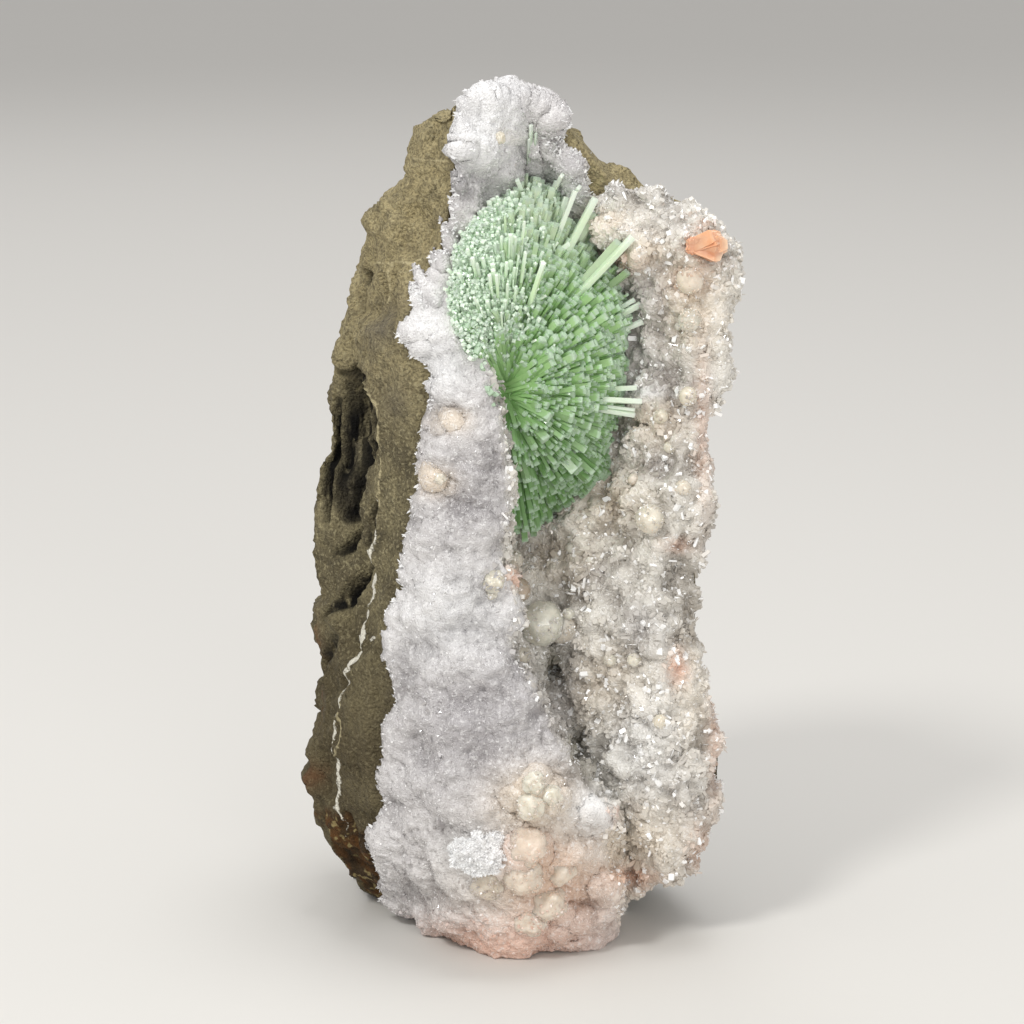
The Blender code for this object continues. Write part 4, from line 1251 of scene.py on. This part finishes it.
def make_needles(skin, finish, rock_tree):
    """White needles, small blades and the spiky fringe of the druse."""
    random = np.random.default_rng(23)
    left = on_left_lobe(skin.columns, skin.rows)
    lying_flat = Growth()
    clumps = np.array([noise.noise(Vector(middle) / (3.4 * MM)) for middle in skin.middles])
    clumped = np.clip(clumps * 3, 0.04, 1)
    weights = (1.03 - left) * clumped
    sow(lying_flat, random, skin, weights, 1100, NEEDLE, lies(0.5), (0.2, 0.42), (0.7, 2))
    sow(lying_flat, random, skin, left + 0.01, 500, NEEDLE, lies(0.6), (0.14, 0.3), (0.4, 1))
    weights = (1.02 - left) * clumped
    sow(lying_flat, random, skin, weights, 2400, BLADE, lies(0.6), (0.3, 0.8), (0.6, 1.6))
    piece("white_needles", lying_flat.mesh("white_needles"), finish, "druse")
    near = far_from(rock_tree, skin.middles, 3)
    rim = smooth_rise(near, 2.2, 0.8) * np.clip(0.7 + 1.5 * clumps, 0.1, 1.4)
    outwards = unit(skin.normals * [0.5, 0.6, 0.5] + [-0.9, -0.1, 0.15])
    side = np.where((skin.columns > RIGHT_RIM_COLUMN)[:, None], skin.normals, outwards)
    count = FRINGE_COUNT
    places, _, chosen = skin.scatter(random, count, rim)
    axes = leaning(random, side[chosen], 0.8)
    fringe = Growth()
    marks = marks_at(places, random)
    marks["white"] = np.maximum(marks["white"], 0.8)
    wide, tall = spread_of(random, count, 0.25, 0.6), spread_of(random, count, 0.3, 0.95)
    places = places - axes * 0.2 * MM
    fringe.add(NEEDLE, places, axes, random.random(count) * 6, wide, wide * 0.8, tall, marks)
    piece("druse_fringe", fringe.mesh("druse_fringe"), finish, "druse")


# The crystals all grow out from one place at the left lobe's inner edge
HEART_PLACE = (503, 394)
HEART = at_depth(*HEART_PLACE, -0.0185)
MM_PER_PIXEL = 0.14
SPRAY_TRIES = 30000

# The spray's fine pale upper left, as its middle and half sizes, and the rows between which its
# crystals turn paler and darker, partly their own colour and partly painted light and shade
FUZZ_MIDDLE = (470, 262)
FUZZ_HALF_SIZE = (44, 62)
PALE_ROWS = (300, 190)
DARK_ROWS = (330, 520)
FUZZ_COUNT = 4200

# The spray's outline round its heart: degrees from the right, upwards, and reach in mm
SPRAY_OUTLINE = [
    (-106, 2.4), (-92, 19.5), (-80, 20.8), (-67, 18.2), (-53, 17.9), (-40, 19), (-27, 17),
    (-13, 16.6), (0, 17.2), (12, 17.8), (23, 19), (31, 21), (40, 22.4), (50, 24), (57, 24),
    (63, 26), (71, 27.6), (76, 29.4), (83, 30.2), (89, 28.2), (95, 25.4), (101, 23.4), (105, 22.2),
    (113, 18), (123, 13.8), (130, 9.4), (142, 2.6),
]

# Single rods of the spray, by the place of their tips: (column, row, width in mm, how clear)
LONG_RODS = [
    (557, 182, 0.8, 0.3), (566, 198, 0.9, 0.3), (549, 184, 0.7, 0.6), (575, 192, 0.7, 1),
    (595, 199, 1.0, 0.4), (596, 214, 1.0, 0.2), (632, 238, 1.0, 0.3), (620, 243, 1.5, 0.2),
    (588, 222, 0.8, 1), (543, 186, 0.9, 0.1), (534, 178, 0.9, 0), (642, 322, 0.8, 0.8),
    (640, 305, 0.8, 0.3), (641, 402, 0.8, 0.8), (634, 415, 0.8, 0.9), (634, 410, 0.6, 0.9),
    (636, 388, 0.8, 0.4), (612, 258, 1.2, 0.1), (628, 272, 1.0, 0.2), (634, 300, 0.7, 0.5),
    (526, 493, 1.1, 0.1), (532, 514, 1.1, 0.1), (551, 506, 1.2, 0), (516, 510, 1.1, 0),
    (600, 470, 0.9, 0.5), (588, 486, 0.8, 0.6), (518, 470, 1, 0), (516, 530, 0.9, 0.2),
    (526, 540, 0.8, 0.3), (540, 522, 0.9, 0.4),
    (534, 470, 1.1, 0), (560, 490, 1, 0.1), (575, 478, 1, 0.1), (605, 452, 0.9, 0.2),
]

# Larger crystals that face the eye: (column, row, width in mm)
BOLD_TIPS = [
    (497, 333, 2.2), (467, 328, 1.4), (478, 352, 1.5), (575, 322, 1.7), (584, 330, 1.3),
    (556, 325, 1.3), (603, 318, 1.6), (541, 342, 1.4), (554, 340, 1.3),
    (546, 416, 1.6), (569, 417, 1.6), (543, 437, 1.7), (595, 435, 1.6), (571, 468, 1.8),
    (533, 445, 1.1), (559, 436, 1.1), (549, 358, 1.3), (571, 357, 1.7),
    (528, 279, 1.4), (548, 288, 1.3), (537, 310, 1.1), (520, 300, 1.1), (590, 345, 1.2),
    (585, 258, 1.2), (526, 478, 1.2), (553, 460, 1.1), (582, 448, 1.1), (590, 470, 1.1),
]

# White and pale green splinters beside the spray's top: foot, tip, width in mm, how clear
SPLINTERS = [
    ((530, 182), (531, 126), 0.5, 0.9), ((534, 182), (536, 134), 0.4, 0.7),
    ((527, 180), (529, 140), 0.35, 0.9), ((541, 216), (562, 176), 0.75, 1),
    ((556, 221), (579, 188), 0.8, 1), ((534, 206), (541, 184), 0.5, 0.9),
]


def rim_lifts(tree):
    """How far in front of the heart the spray's rim is along its outline, in mm."""
    lifts = []
    for angle, reach in SPRAY_OUTLINE:
        turn = math.radians(angle)
        column = HEART_PLACE[0] + reach / MM_PER_PIXEL * math.cos(turn)
        row = HEART_PLACE[1] - reach / MM_PER_PIXEL * math.sin(turn)
        place = ray_to([tree], column, row)[0]
        lifts.append(min(7, (place - HEART).dot(VIEW_BACK) / MM + 1.4))
    padded = np.array([lifts[0]] + lifts + [lifts[-1]])
    return (padded[:-2] + padded[1:-1] + padded[2:]) / 3


def spray_front(across, up, lifts):
    """How far the spray's front is before its heart at places across it, in mm, and the share of
    the outline's reach there."""
    angles, reaches = (np.array(column, float) for column in zip(*SPRAY_OUTLINE))
    angle = np.degrees(np.arctan2(up, across))
    angle = np.where(angle < (angles[0] + angles[-1] - 360) / 2, angle + 360, angle)
    part = np.hypot(across, up) / np.interp(angle, angles, reaches)
    bulge = np.sqrt(np.clip(1 - part**2, 0, 1))
    front = np.interp(angle, angles, lifts) * part**1.3 + 1 + 6 * smooth_rise(part, 0, 0.4) * bulge
    return front, part


def wall_reach(tree, starts, directions):
    """How far the druse is from places in directions."""
    found = np.full(len(directions), 1.0)
    for index, (start, direction) in enumerate(zip(starts, directions)):
        hit = tree.ray_cast(Vector(start) + Vector(direction) * 1.5 * MM, Vector(direction))
        if hit[0] is not None:
            found[index] = hit[3] + 1.5 * MM
    return found


def in_space(across, up, front):
    """Points given in mm across, up and in front of the heart."""
    ways = (np.array(way) for way in (VIEW_RIGHT, VIEW_UP, VIEW_BACK))
    offset = sum(np.asarray(part)[:, None] * way for part, way in zip((across, up, front), ways))
    return np.array(HEART) + offset * MM


def heart_shift(up):
    """How far the upper crystals grow from above and behind the heart, by the height of their tips
    in mm."""
    upper = smooth_rise(up, 0, 16)[:, None] * MM
    return upper * (np.array(VIEW_UP) * 3 - np.array(VIEW_BACK) * 3.5)


def make_spray(tree, finish):
    """The natrolite crystals, all growing out from the heart in layers."""
    random = np.random.default_rng(5)
    lifts = rim_lifts(tree)
    index = np.arange(SPRAY_TRIES)
    across = index * 0.7548776662 % 1 * 30 - 8.5
    up = index * 0.5698402910 % 1 * 53 - 21.5
    front, part = spray_front(across, up, lifts)
    ragged = 1.03 - 0.1 * random.random(len(index)) ** 2
    layer = index % 3
    front -= np.array([0, 1.7, 3.4])[layer] + 1.1 * random.random(len(index))
    tips = in_space(across, up, front)
    columns, rows = seen_at(tips)
    across_fuzz = (columns - FUZZ_MIDDLE[0]) / FUZZ_HALF_SIZE[0]
    fine = np.exp(-(across_fuzz**2 + ((rows - FUZZ_MIDDLE[1]) / FUZZ_HALF_SIZE[1]) ** 2))
    fine = np.clip(fine * 1.5, 0, 1)
    density = np.array([0.3, 0.5, 0.62])[layer] + np.array([0.45, 0.4, 0.3])[layer] * fine
    kept = (part < ragged) & (random.random(len(tips)) < density)
    tips, fine, part, up, layer = tips[kept], fine[kept], part[kept], up[kept], layer[kept]
    count = len(tips)
    hearts = np.array(HEART) + random.normal(size=(count, 3)) * 0.5 * MM
    hearts += heart_shift(up)
    away = tips - hearts
    reach = np.linalg.norm(away, axis=1)
    strays = random.normal(size=away.shape) * (0.012 + 0.1 * fine)[:, None]
    directions = unit(away + strays * reach[:, None])
    wall = wall_reach(tree, hearts, directions)
    open_way = wall > reach * 0.8
    hearts, directions, reach, wall, fine, part, tips, layer = (
        values[open_way] for values in (hearts, directions, reach, wall, fine, part, tips, layer)
    )
    rows = seen_at(tips)[1]
    count = len(reach)
    full = np.minimum(reach, wall + 0.4 * MM)
    wide = (0.36 + 0.66 * random.random(count) ** 1.8) * (1 - 0.5 * fine) * MM
    wide *= (0.75 + 0.4 * np.minimum(part, 1)) * (1 + 0.4 * (layer > 0))
    short = random.random(count) < 0.7 * fine
    start = np.where(short, np.maximum(full - 5 * MM, 0.2 * full), 0.1 * full)
    clear, frosted = Growth(), Growth()
    marks = {
        "shade": random.random(count), "pale": np.maximum(fine, smooth_rise(rows, *PALE_ROWS)),
        "clear": np.zeros(count), "deep": smooth_rise(rows, *DARK_ROWS),
    }
    frosty = random.random(count) < 1.3 * fine - 0.2
    blunt = random.random(count) < 0.5
    small = (wide < 0.45 * MM) | (layer == 2)
    for growth, form, chosen in (
        (clear, PRISM, ~frosty & ~small & ~blunt), (clear, BLUNT_PRISM, ~frosty & ~small & blunt),
        (clear, PLAIN_PRISM, ~frosty & small), (frosted, PLAIN_PRISM, frosty),
    ):
        number = chosen.sum()
        places = hearts[chosen] + directions[chosen] * start[chosen, None]
        growth.add(
            form, places, directions[chosen], random.random(number) * TURN, wide[chosen],
            wide[chosen] * (0.8 + 0.25 * random.random(number)), (full - start)[chosen],
            {name: values[chosen] for name, values in marks.items()},
        )
    add_fuzz(frosted, random, lifts)
    add_rods(clear, frosted, random, tree, lifts)
    add_splinters(frosted, random, tree)
    made = clear.mesh("natrolite_crystals")
    piece("natrolite_crystals", made, finish, "natrolite", "natrolite_spray")
    piece("natrolite_fuzz", frosted.mesh("natrolite_fuzz"), frosted_finish(), "natrolite")


def add_fuzz(growth, random, lifts):
    """Fine pale crystals that stand on the spray's upper left."""
    count = FUZZ_COUNT
    across = -4.6 + 3.6 * random.normal(size=count)
    up = 18 + 7 * random.normal(size=count)
    front, part = spray_front(across, up, lifts)
    kept = (part < 0.97) & (up > 4)
    across, up, front = across[kept], up[kept], front[kept] - 0.7
    places = in_space(across, up, front)
    count = len(places)
    outwards = unit(places - np.array(HEART) - heart_shift(up)) + 0.6 * np.array(VIEW_BACK)
    axes = leaning(random, unit(outwards), 0.45)
    wide, tall = spread_of(random, count, 0.3, 0.62), spread_of(random, count, 0.7, 1.9)
    marks = {
        "shade": random.random(count), "pale": np.ones(count), "clear": 0.3 * random.random(count),
        "deep": np.zeros(count),
    }
    growth.add(PLAIN_PRISM, places, axes, random.random(count) * TURN, wide, wide, tall, marks)


def tip_in_spray(column, row, lifts):
    """The place on the spray's front that the photograph shows at a place."""
    steps = np.linspace(VIEW_DISTANCE - 0.04, VIEW_DISTANCE + 0.03, 400)
    points = np.array(EYE) + steps[:, None] * np.array(line_of_sight(column, row))
    away = (points - np.array(HEART)) / MM
    across, up, towards = (away @ np.array(way) for way in (VIEW_RIGHT, VIEW_UP, VIEW_BACK))
    front, part = spray_front(across, up, lifts)
    within = (towards < front) & (part < 1.05)
    return points[np.argmax(within)] if within.any() else None


def add_rods(clear_growth, frosted_growth, random, tree, lifts):
    """The spray's single long rods and its larger crystals."""
    tips, widths, clear = [], [], []
    for column, row, width, clearness in LONG_RODS:
        place, _ = ray_to([tree], column, row)
        tips.append(place + VIEW_BACK * 1.2 * MM)
        widths.append(width * MM)
        clear.append(clearness)
    for column, row, width in BOLD_TIPS:
        place = tip_in_spray(column, row, lifts)
        if place is not None:
            tips.append(Vector(place) + (Vector(place) - HEART).normalized() * 0.6 * MM)
            widths.append(0.82 * width * MM)
            clear.append(0.1)
    tips, widths, clear = np.array(tips), np.array(widths), np.array(clear)
    hearts = np.array(HEART) + heart_shift((tips - np.array(HEART)) @ np.array(VIEW_UP) / MM)
    away = tips - hearts
    lengths = np.linalg.norm(away, axis=1)
    axes = away / lengths[:, None]
    rows = seen_at(tips)[1]
    marks = {
        "shade": random.random(len(tips)), "pale": smooth_rise(rows, *PALE_ROWS), "clear": clear,
        "deep": smooth_rise(rows, *DARK_ROWS),
    }
    start = hearts + axes * (0.3 * lengths)[:, None]
    rolls = random.random(len(tips)) * TURN
    for growth, chosen in ((clear_growth, clear < 0.3), (frosted_growth, clear >= 0.3)):
        growth.add(
            PRISM, start[chosen], axes[chosen], rolls[chosen], widths[chosen] * 0.9,
            widths[chosen] * 0.75, lengths[chosen] * 0.7,
            {name: values[chosen] for name, values in marks.items()},
        )


def add_splinters(growth, random, tree):
    """Splinters that lean on the druse beside the spray's top."""
    feet = np.array([ray_to([tree], *foot)[0] - VIEW_BACK * 0.3 * MM for foot, *_ in SPLINTERS])
    tips = np.array([ray_to([tree], *tip)[0] + VIEW_BACK * 0.9 * MM for _, tip, *_ in SPLINTERS])
    widths = np.array([width for _, _, width, _ in SPLINTERS]) * MM
    clear = np.array([clearness for *_, clearness in SPLINTERS])
    away = tips - feet
    lengths = np.linalg.norm(away, axis=1)
    marks = {
        "shade": random.random(len(tips)), "pale": clear * 0 + 1, "clear": clear, "deep": clear * 0,
    }
    rolls = np.full(len(tips), 0.8)
    growth.add(PRISM, feet, away / lengths[:, None], rolls, widths, widths * 0.7, lengths, marks)


# Each ball as (column, row, radius in mm, share that stands out, cream, peach, grey, brown)
BALLS = {
    "cleft_pearls": (["cleft_balls", "brown_ball"], [
        (539, 621, 3.3, 1.25, 0.1, 0, 0.45, 0), (562, 628, 2.3, 0.9, 0.1, 0.5, 0.2, 0.1),
        (569, 614, 0.9, 0.8, 0.4, 0, 0.2, 0), (519, 590, 1.7, 0.7, 0, 0.2, 0.2, 0.7),
        (514, 560, 1.3, 0.8, 0, 0.4, 0.5, 0.2), (521, 655, 1.6, 0.5, 0.3, 0.2, 0.2, 0.1),
    ]),
    "right_pearls": (["right_ball", "upper_ball"], [
        (650, 518, 2.1, 0.95, 0.3, 0.2, 0.2, 0), (690, 279, 2, 0.95, 0.3, 0.5, 0, 0),
        (690, 320, 1.7, 0.6, 0.2, 0.3, 0.3, 0), (679, 326, 0.6, 0.8, 0.1, 0.2, 0.2, 0),
        (670, 447, 0.9, 0.7, 0.7, 0, 0, 0), (661, 416, 1.1, 0.7, 0.8, 0.1, 0, 0),
        (688, 396, 1.4, 0.6, 0.6, 0.2, 0, 0), (683, 488, 1.2, 0.6, 0.3, 0.4, 0, 0),
        (634, 480, 0.9, 0.8, 0.1, 0.7, 0, 0), (610, 660, 1.0, 0.55, 0.6, 0.1, 0.2, 0),
        (634, 660, 1.0, 0.55, 0.6, 0.1, 0.2, 0), (660, 722, 1.1, 0.55, 0.6, 0.2, 0, 0),
        (572, 548, 1, 0.6, 0.4, 0.1, 0.2, 0), (590, 560, 0.8, 0.6, 0.4, 0.2, 0, 0),
    ]),
    "curtain_pearls": (["edge_ball"], [
        (494, 581, 1.6, 0.8, 0.5, 0, 0.1, 0), (492, 594, 0.8, 0.7, 0.5, 0.1, 0, 0),
        (440, 479, 0.9, 0.4, 0.6, 0.2, 0, 0), (500, 137, 0.9, 0.4, 0.9, 0.1, 0, 0),
    ]),
    "foot_pearls": (["base_knobs", "low_knobs"], [
        (534, 783, 1.7, 0.6, 0.5, 0, 0.3, 0), (531, 806, 2.0, 0.6, 0.5, 0.1, 0.2, 0),
        (551, 796, 1.6, 0.6, 0.4, 0.1, 0.2, 0), (522, 878, 3.1, 0.3, 0.3, 0.6, 0, 0),
        (488, 884, 2.6, 0.3, 0.5, 0.4, 0.1, 0.1), (528, 846, 2.8, 0.25, 0.1, 0.8, 0, 0),
        (548, 905, 2.6, 0.3, 0.3, 0.6, 0, 0), (530, 924, 2.2, 0.25, 0.2, 0.7, 0, 0),
        (564, 872, 2.2, 0.3, 0.3, 0.6, 0, 0),
    ]),
}


# Balls with a rougher skin, and how rough it is
ROUGH_BALLS = ("curtain_pearls", "foot_pearls")
ROUGHNESS = 0.45


def make_balls(name, nodes, balls, tree, finish):
    """Waxy balls with uneven skins, sunk in what the photograph shows them on."""
    mesh = bmesh.new()
    marks = {"cream": [], "peach": [], "grey": [], "brown": []}
    rough = ROUGHNESS if name in ROUGH_BALLS else 0
    for number, (column, row, radius, share, *tints) in enumerate(balls):
        place, normal = ray_to([tree], column, row)
        out = (normal + VIEW_BACK).normalized()
        middle = place + out * radius * (2 * share - 1.35) * 0.6 * MM
        made = bmesh.ops.create_icosphere(mesh, subdivisions=4, radius=1, matrix=Matrix.Identity(4))
        for vertex in made["verts"]:
            way = vertex.co.normalized()
            uneven = (0.07 + 0.3 * rough) * noise.noise(way * 1.8 + Vector((number, 0, 0)))
            uneven += 0.02 * noise.noise(way * 5 + Vector((0, number, 0)))
            uneven += 0.3 * rough * broken_face(way, 0.75, number)
            vertex.co = middle + way * radius * MM * (1 + uneven)
            for mark, tint in zip(marks.values(), tints):
                mark.append(tint)
    made = closed_up(mesh, name)
    write_marks(made, marks)
    made.shade_smooth()
    piece(name, made, finish, "pearl", *nodes)
    return Skin(made, np.ones(len(made.vertices), bool))


def make_ball_sugar(skins, finish):
    """Small crystals that have grown over the balls in patches."""
    random = np.random.default_rng(37)
    growth = Growth()
    for skin in skins:
        patchy = np.array([noise.noise(Vector(middle) / (1.6 * MM)) for middle in skin.middles])
        patchy = np.clip(patchy * 3 + 0.35, 0.05, 1)
        count = int(skin.areas.sum() / MM**2 * 0.85)
        for form in POINTS + BLOCKS:
            sizes = (0.15, 0.5)
            sow(growth, random, skin, patchy, count, form, stands(0.9), sizes, sizes, 0.4)
    piece("ball_sugar", growth.mesh("ball_sugar"), finish, "druse")


TUFT_PLACE = (482, 852)


def make_tuft(tree, finish):
    """The white cushion of fine crystals on the left lobe's foot."""
    random = np.random.default_rng(31)
    place, normal = ray_to([tree], *TUFT_PLACE)
    middle = place + normal * 0.2 * MM
    mesh = bmesh.new()
    bmesh.ops.create_icosphere(mesh, subdivisions=5, radius=1, matrix=Matrix.Identity(4))
    for vertex in mesh.verts:
        way = vertex.co.normalized()
        uneven = 1 + 0.5 * noise.noise(way * 1.7) + 0.35 * noise.noise(way * 4)
        uneven += 0.15 * noise.noise(way * 9)
        vertex.co = middle + Vector((way.x * 3.8, way.y * 1.7, way.z * 2.6)) * uneven * MM
    made = closed_up(mesh, "tuft")
    places = place_of(made)
    columns, rows = seen_at(places)
    marks = druse_marks(columns, rows, np.ones(len(places)), np.ones(len(places)))
    marks["white"] = marks["white"] * 0 + 1
    marks["cream"] = marks["cream"] * 0
    marks["shade"] = marks["white"] * 0
    write_marks(made, marks)
    made.shade_smooth()
    piece("white_needle_tuft", made, finish, "druse", "white_tuft")
    growth = Growth()
    skin = Skin(made, np.ones(len(made.vertices), bool))
    for form, count in ((NEEDLE, 1400), (POINTS[0], 2600), (BLOCKS[0], 900)):
        sow(growth, random, skin, 1, count, form, stands(0.9), (0.15, 0.45), (0.2, 0.7), 0.3)
    for *_, kept in growth.batches:
        kept["white"] = kept["white"] * 0 + 1
        kept["cream"] = kept["cream"] * 0
    piece("tuft_needles", growth.mesh("tuft_needles"), finish, "druse")


# The sheaf's root, and the middle of its tips with how far they fan out, in pixels
STILBITE_ROOT = (694, 246)
STILBITE_TIPS = (722, 246)
STILBITE_FAN = (8, 11)
STILBITE_COUNT = 16


def make_stilbite(tree, finish):
    """A small sheaf of flat pointed stilbite crystals."""
    random = np.random.default_rng(41)
    root = ray_to([tree], *STILBITE_ROOT)[0] + VIEW_BACK * 0.4 * MM
    growth = Growth()
    count = STILBITE_COUNT
    back, spread = STILBITE_FAN
    tips = []
    for index in range(count):
        fan = (index % 8 - 3.5) / 3.5
        column = STILBITE_TIPS[0] - back * abs(fan) + back * random.random()
        row = STILBITE_TIPS[1] + spread * fan
        tip = at_depth(column, row, root.y + (0.6 - 2.2 * (index // 8)) * MM)
        tips.append(tip)
    tips = np.array(tips)
    away = tips - np.array(root)
    lengths = np.linalg.norm(away, axis=1)
    axes = away / lengths[:, None]
    marks = {"shade": random.random(count)}
    growth.add(
        BLADE, np.array(root) - axes * 0.8 * MM, axes, 1.2 + 0.5 * random.random(count),
        np.full(count, 2 * MM), np.full(count, 1.4 * MM), lengths + 0.8 * MM, marks,
    )
    piece("stilbite_sheaf", growth.mesh("stilbite_sheaf"), finish, "stilbite", "stilbite_crystal")


def make_specimen():
    """Every piece of the specimen."""
    lining = cad_shape("druse_lining")
    cad_rock_tree = tree_of(cad_shape("basalt_matrix"))
    lining_tree = tree_of(lining)
    fill = swollen(cut(lining.copy(), bare_top_wedge(), "INTERSECT"), 0.35)
    shape = cut(lining.copy(), bare_top_wedge(), "DIFFERENCE")
    rock_tree = make_rock(lining_tree, fill)
    spikes = spike_shapes([rock_tree, lining_tree])
    whole = joined([shape, spikes, knob_shapes(lining_tree)], "druse")
    white = druse_ground_finish()
    sparkling = druse_crystal_finish()
    skin, druse_tree = make_druse(whole, cad_rock_tree, white)
    make_sugar(skin, sparkling)
    make_needles(skin, sparkling, rock_tree)
    make_spray(druse_tree, natrolite_finish())
    pearl = pearl_finish()
    skins = [
        make_balls(name, nodes, balls, druse_tree, pearl) for name, (nodes, balls) in BALLS.items()
    ]
    make_ball_sugar(skins, sparkling)
    make_tuft(druse_tree, sparkling)
    make_stilbite(druse_tree, stilbite_finish())


def add_light(name, place, size, power, colour):
    """A soft light that points at the specimen's middle."""
    data = bpy.data.lights.new(name, "AREA")
    data.shape = "DISK"
    data.size = size
    data.energy = power
    data.color = colour
    item = link(bpy.data.objects.new(name, data))
    item.location = place
    item.rotation_euler = (Vector(place) - VIEW_TARGET).to_track_quat("Z", "Y").to_euler()


def make_stage():
    """A pale floor in soft studio light."""
    mesh = bmesh.new()
    bmesh.ops.create_circle(mesh, cap_ends=True, radius=6, segments=96)
    made = closed_up(mesh, "floor")
    f = Finish("floor", specular_ior_level=0.2)
    made.materials.append(f.done(tone(214, 212, 208), 0.7 + f.cloud(40, 2) * 0.1))
    link(bpy.data.objects.new("floor", made))
    add_light("key", (-0.4, -0.6, 0.75), 0.2, 4.3, (1, 0.99, 0.96))
    add_light("fill", (0.3, -0.95, 0.3), 0.4, 2.2, (1, 0.99, 0.97))
    add_light("top", (0.1, 0.0, 1.0), 0.4, 2.6, (1, 1, 1))
    add_light("back", (-0.3, 1.0, 1.0), 0.8, 2.4, (1, 1, 1))
    world = bpy.data.worlds.new("studio")
    bpy.context.scene.world = world
    world.use_nodes = True
    world.node_tree.nodes["Background"].inputs["Color"].default_value = (1, 0.99, 0.98, 1)
    world.node_tree.nodes["Background"].inputs["Strength"].default_value = 0.62
    bpy.context.scene.view_settings.view_transform = "Standard"


make_specimen()
make_stage()
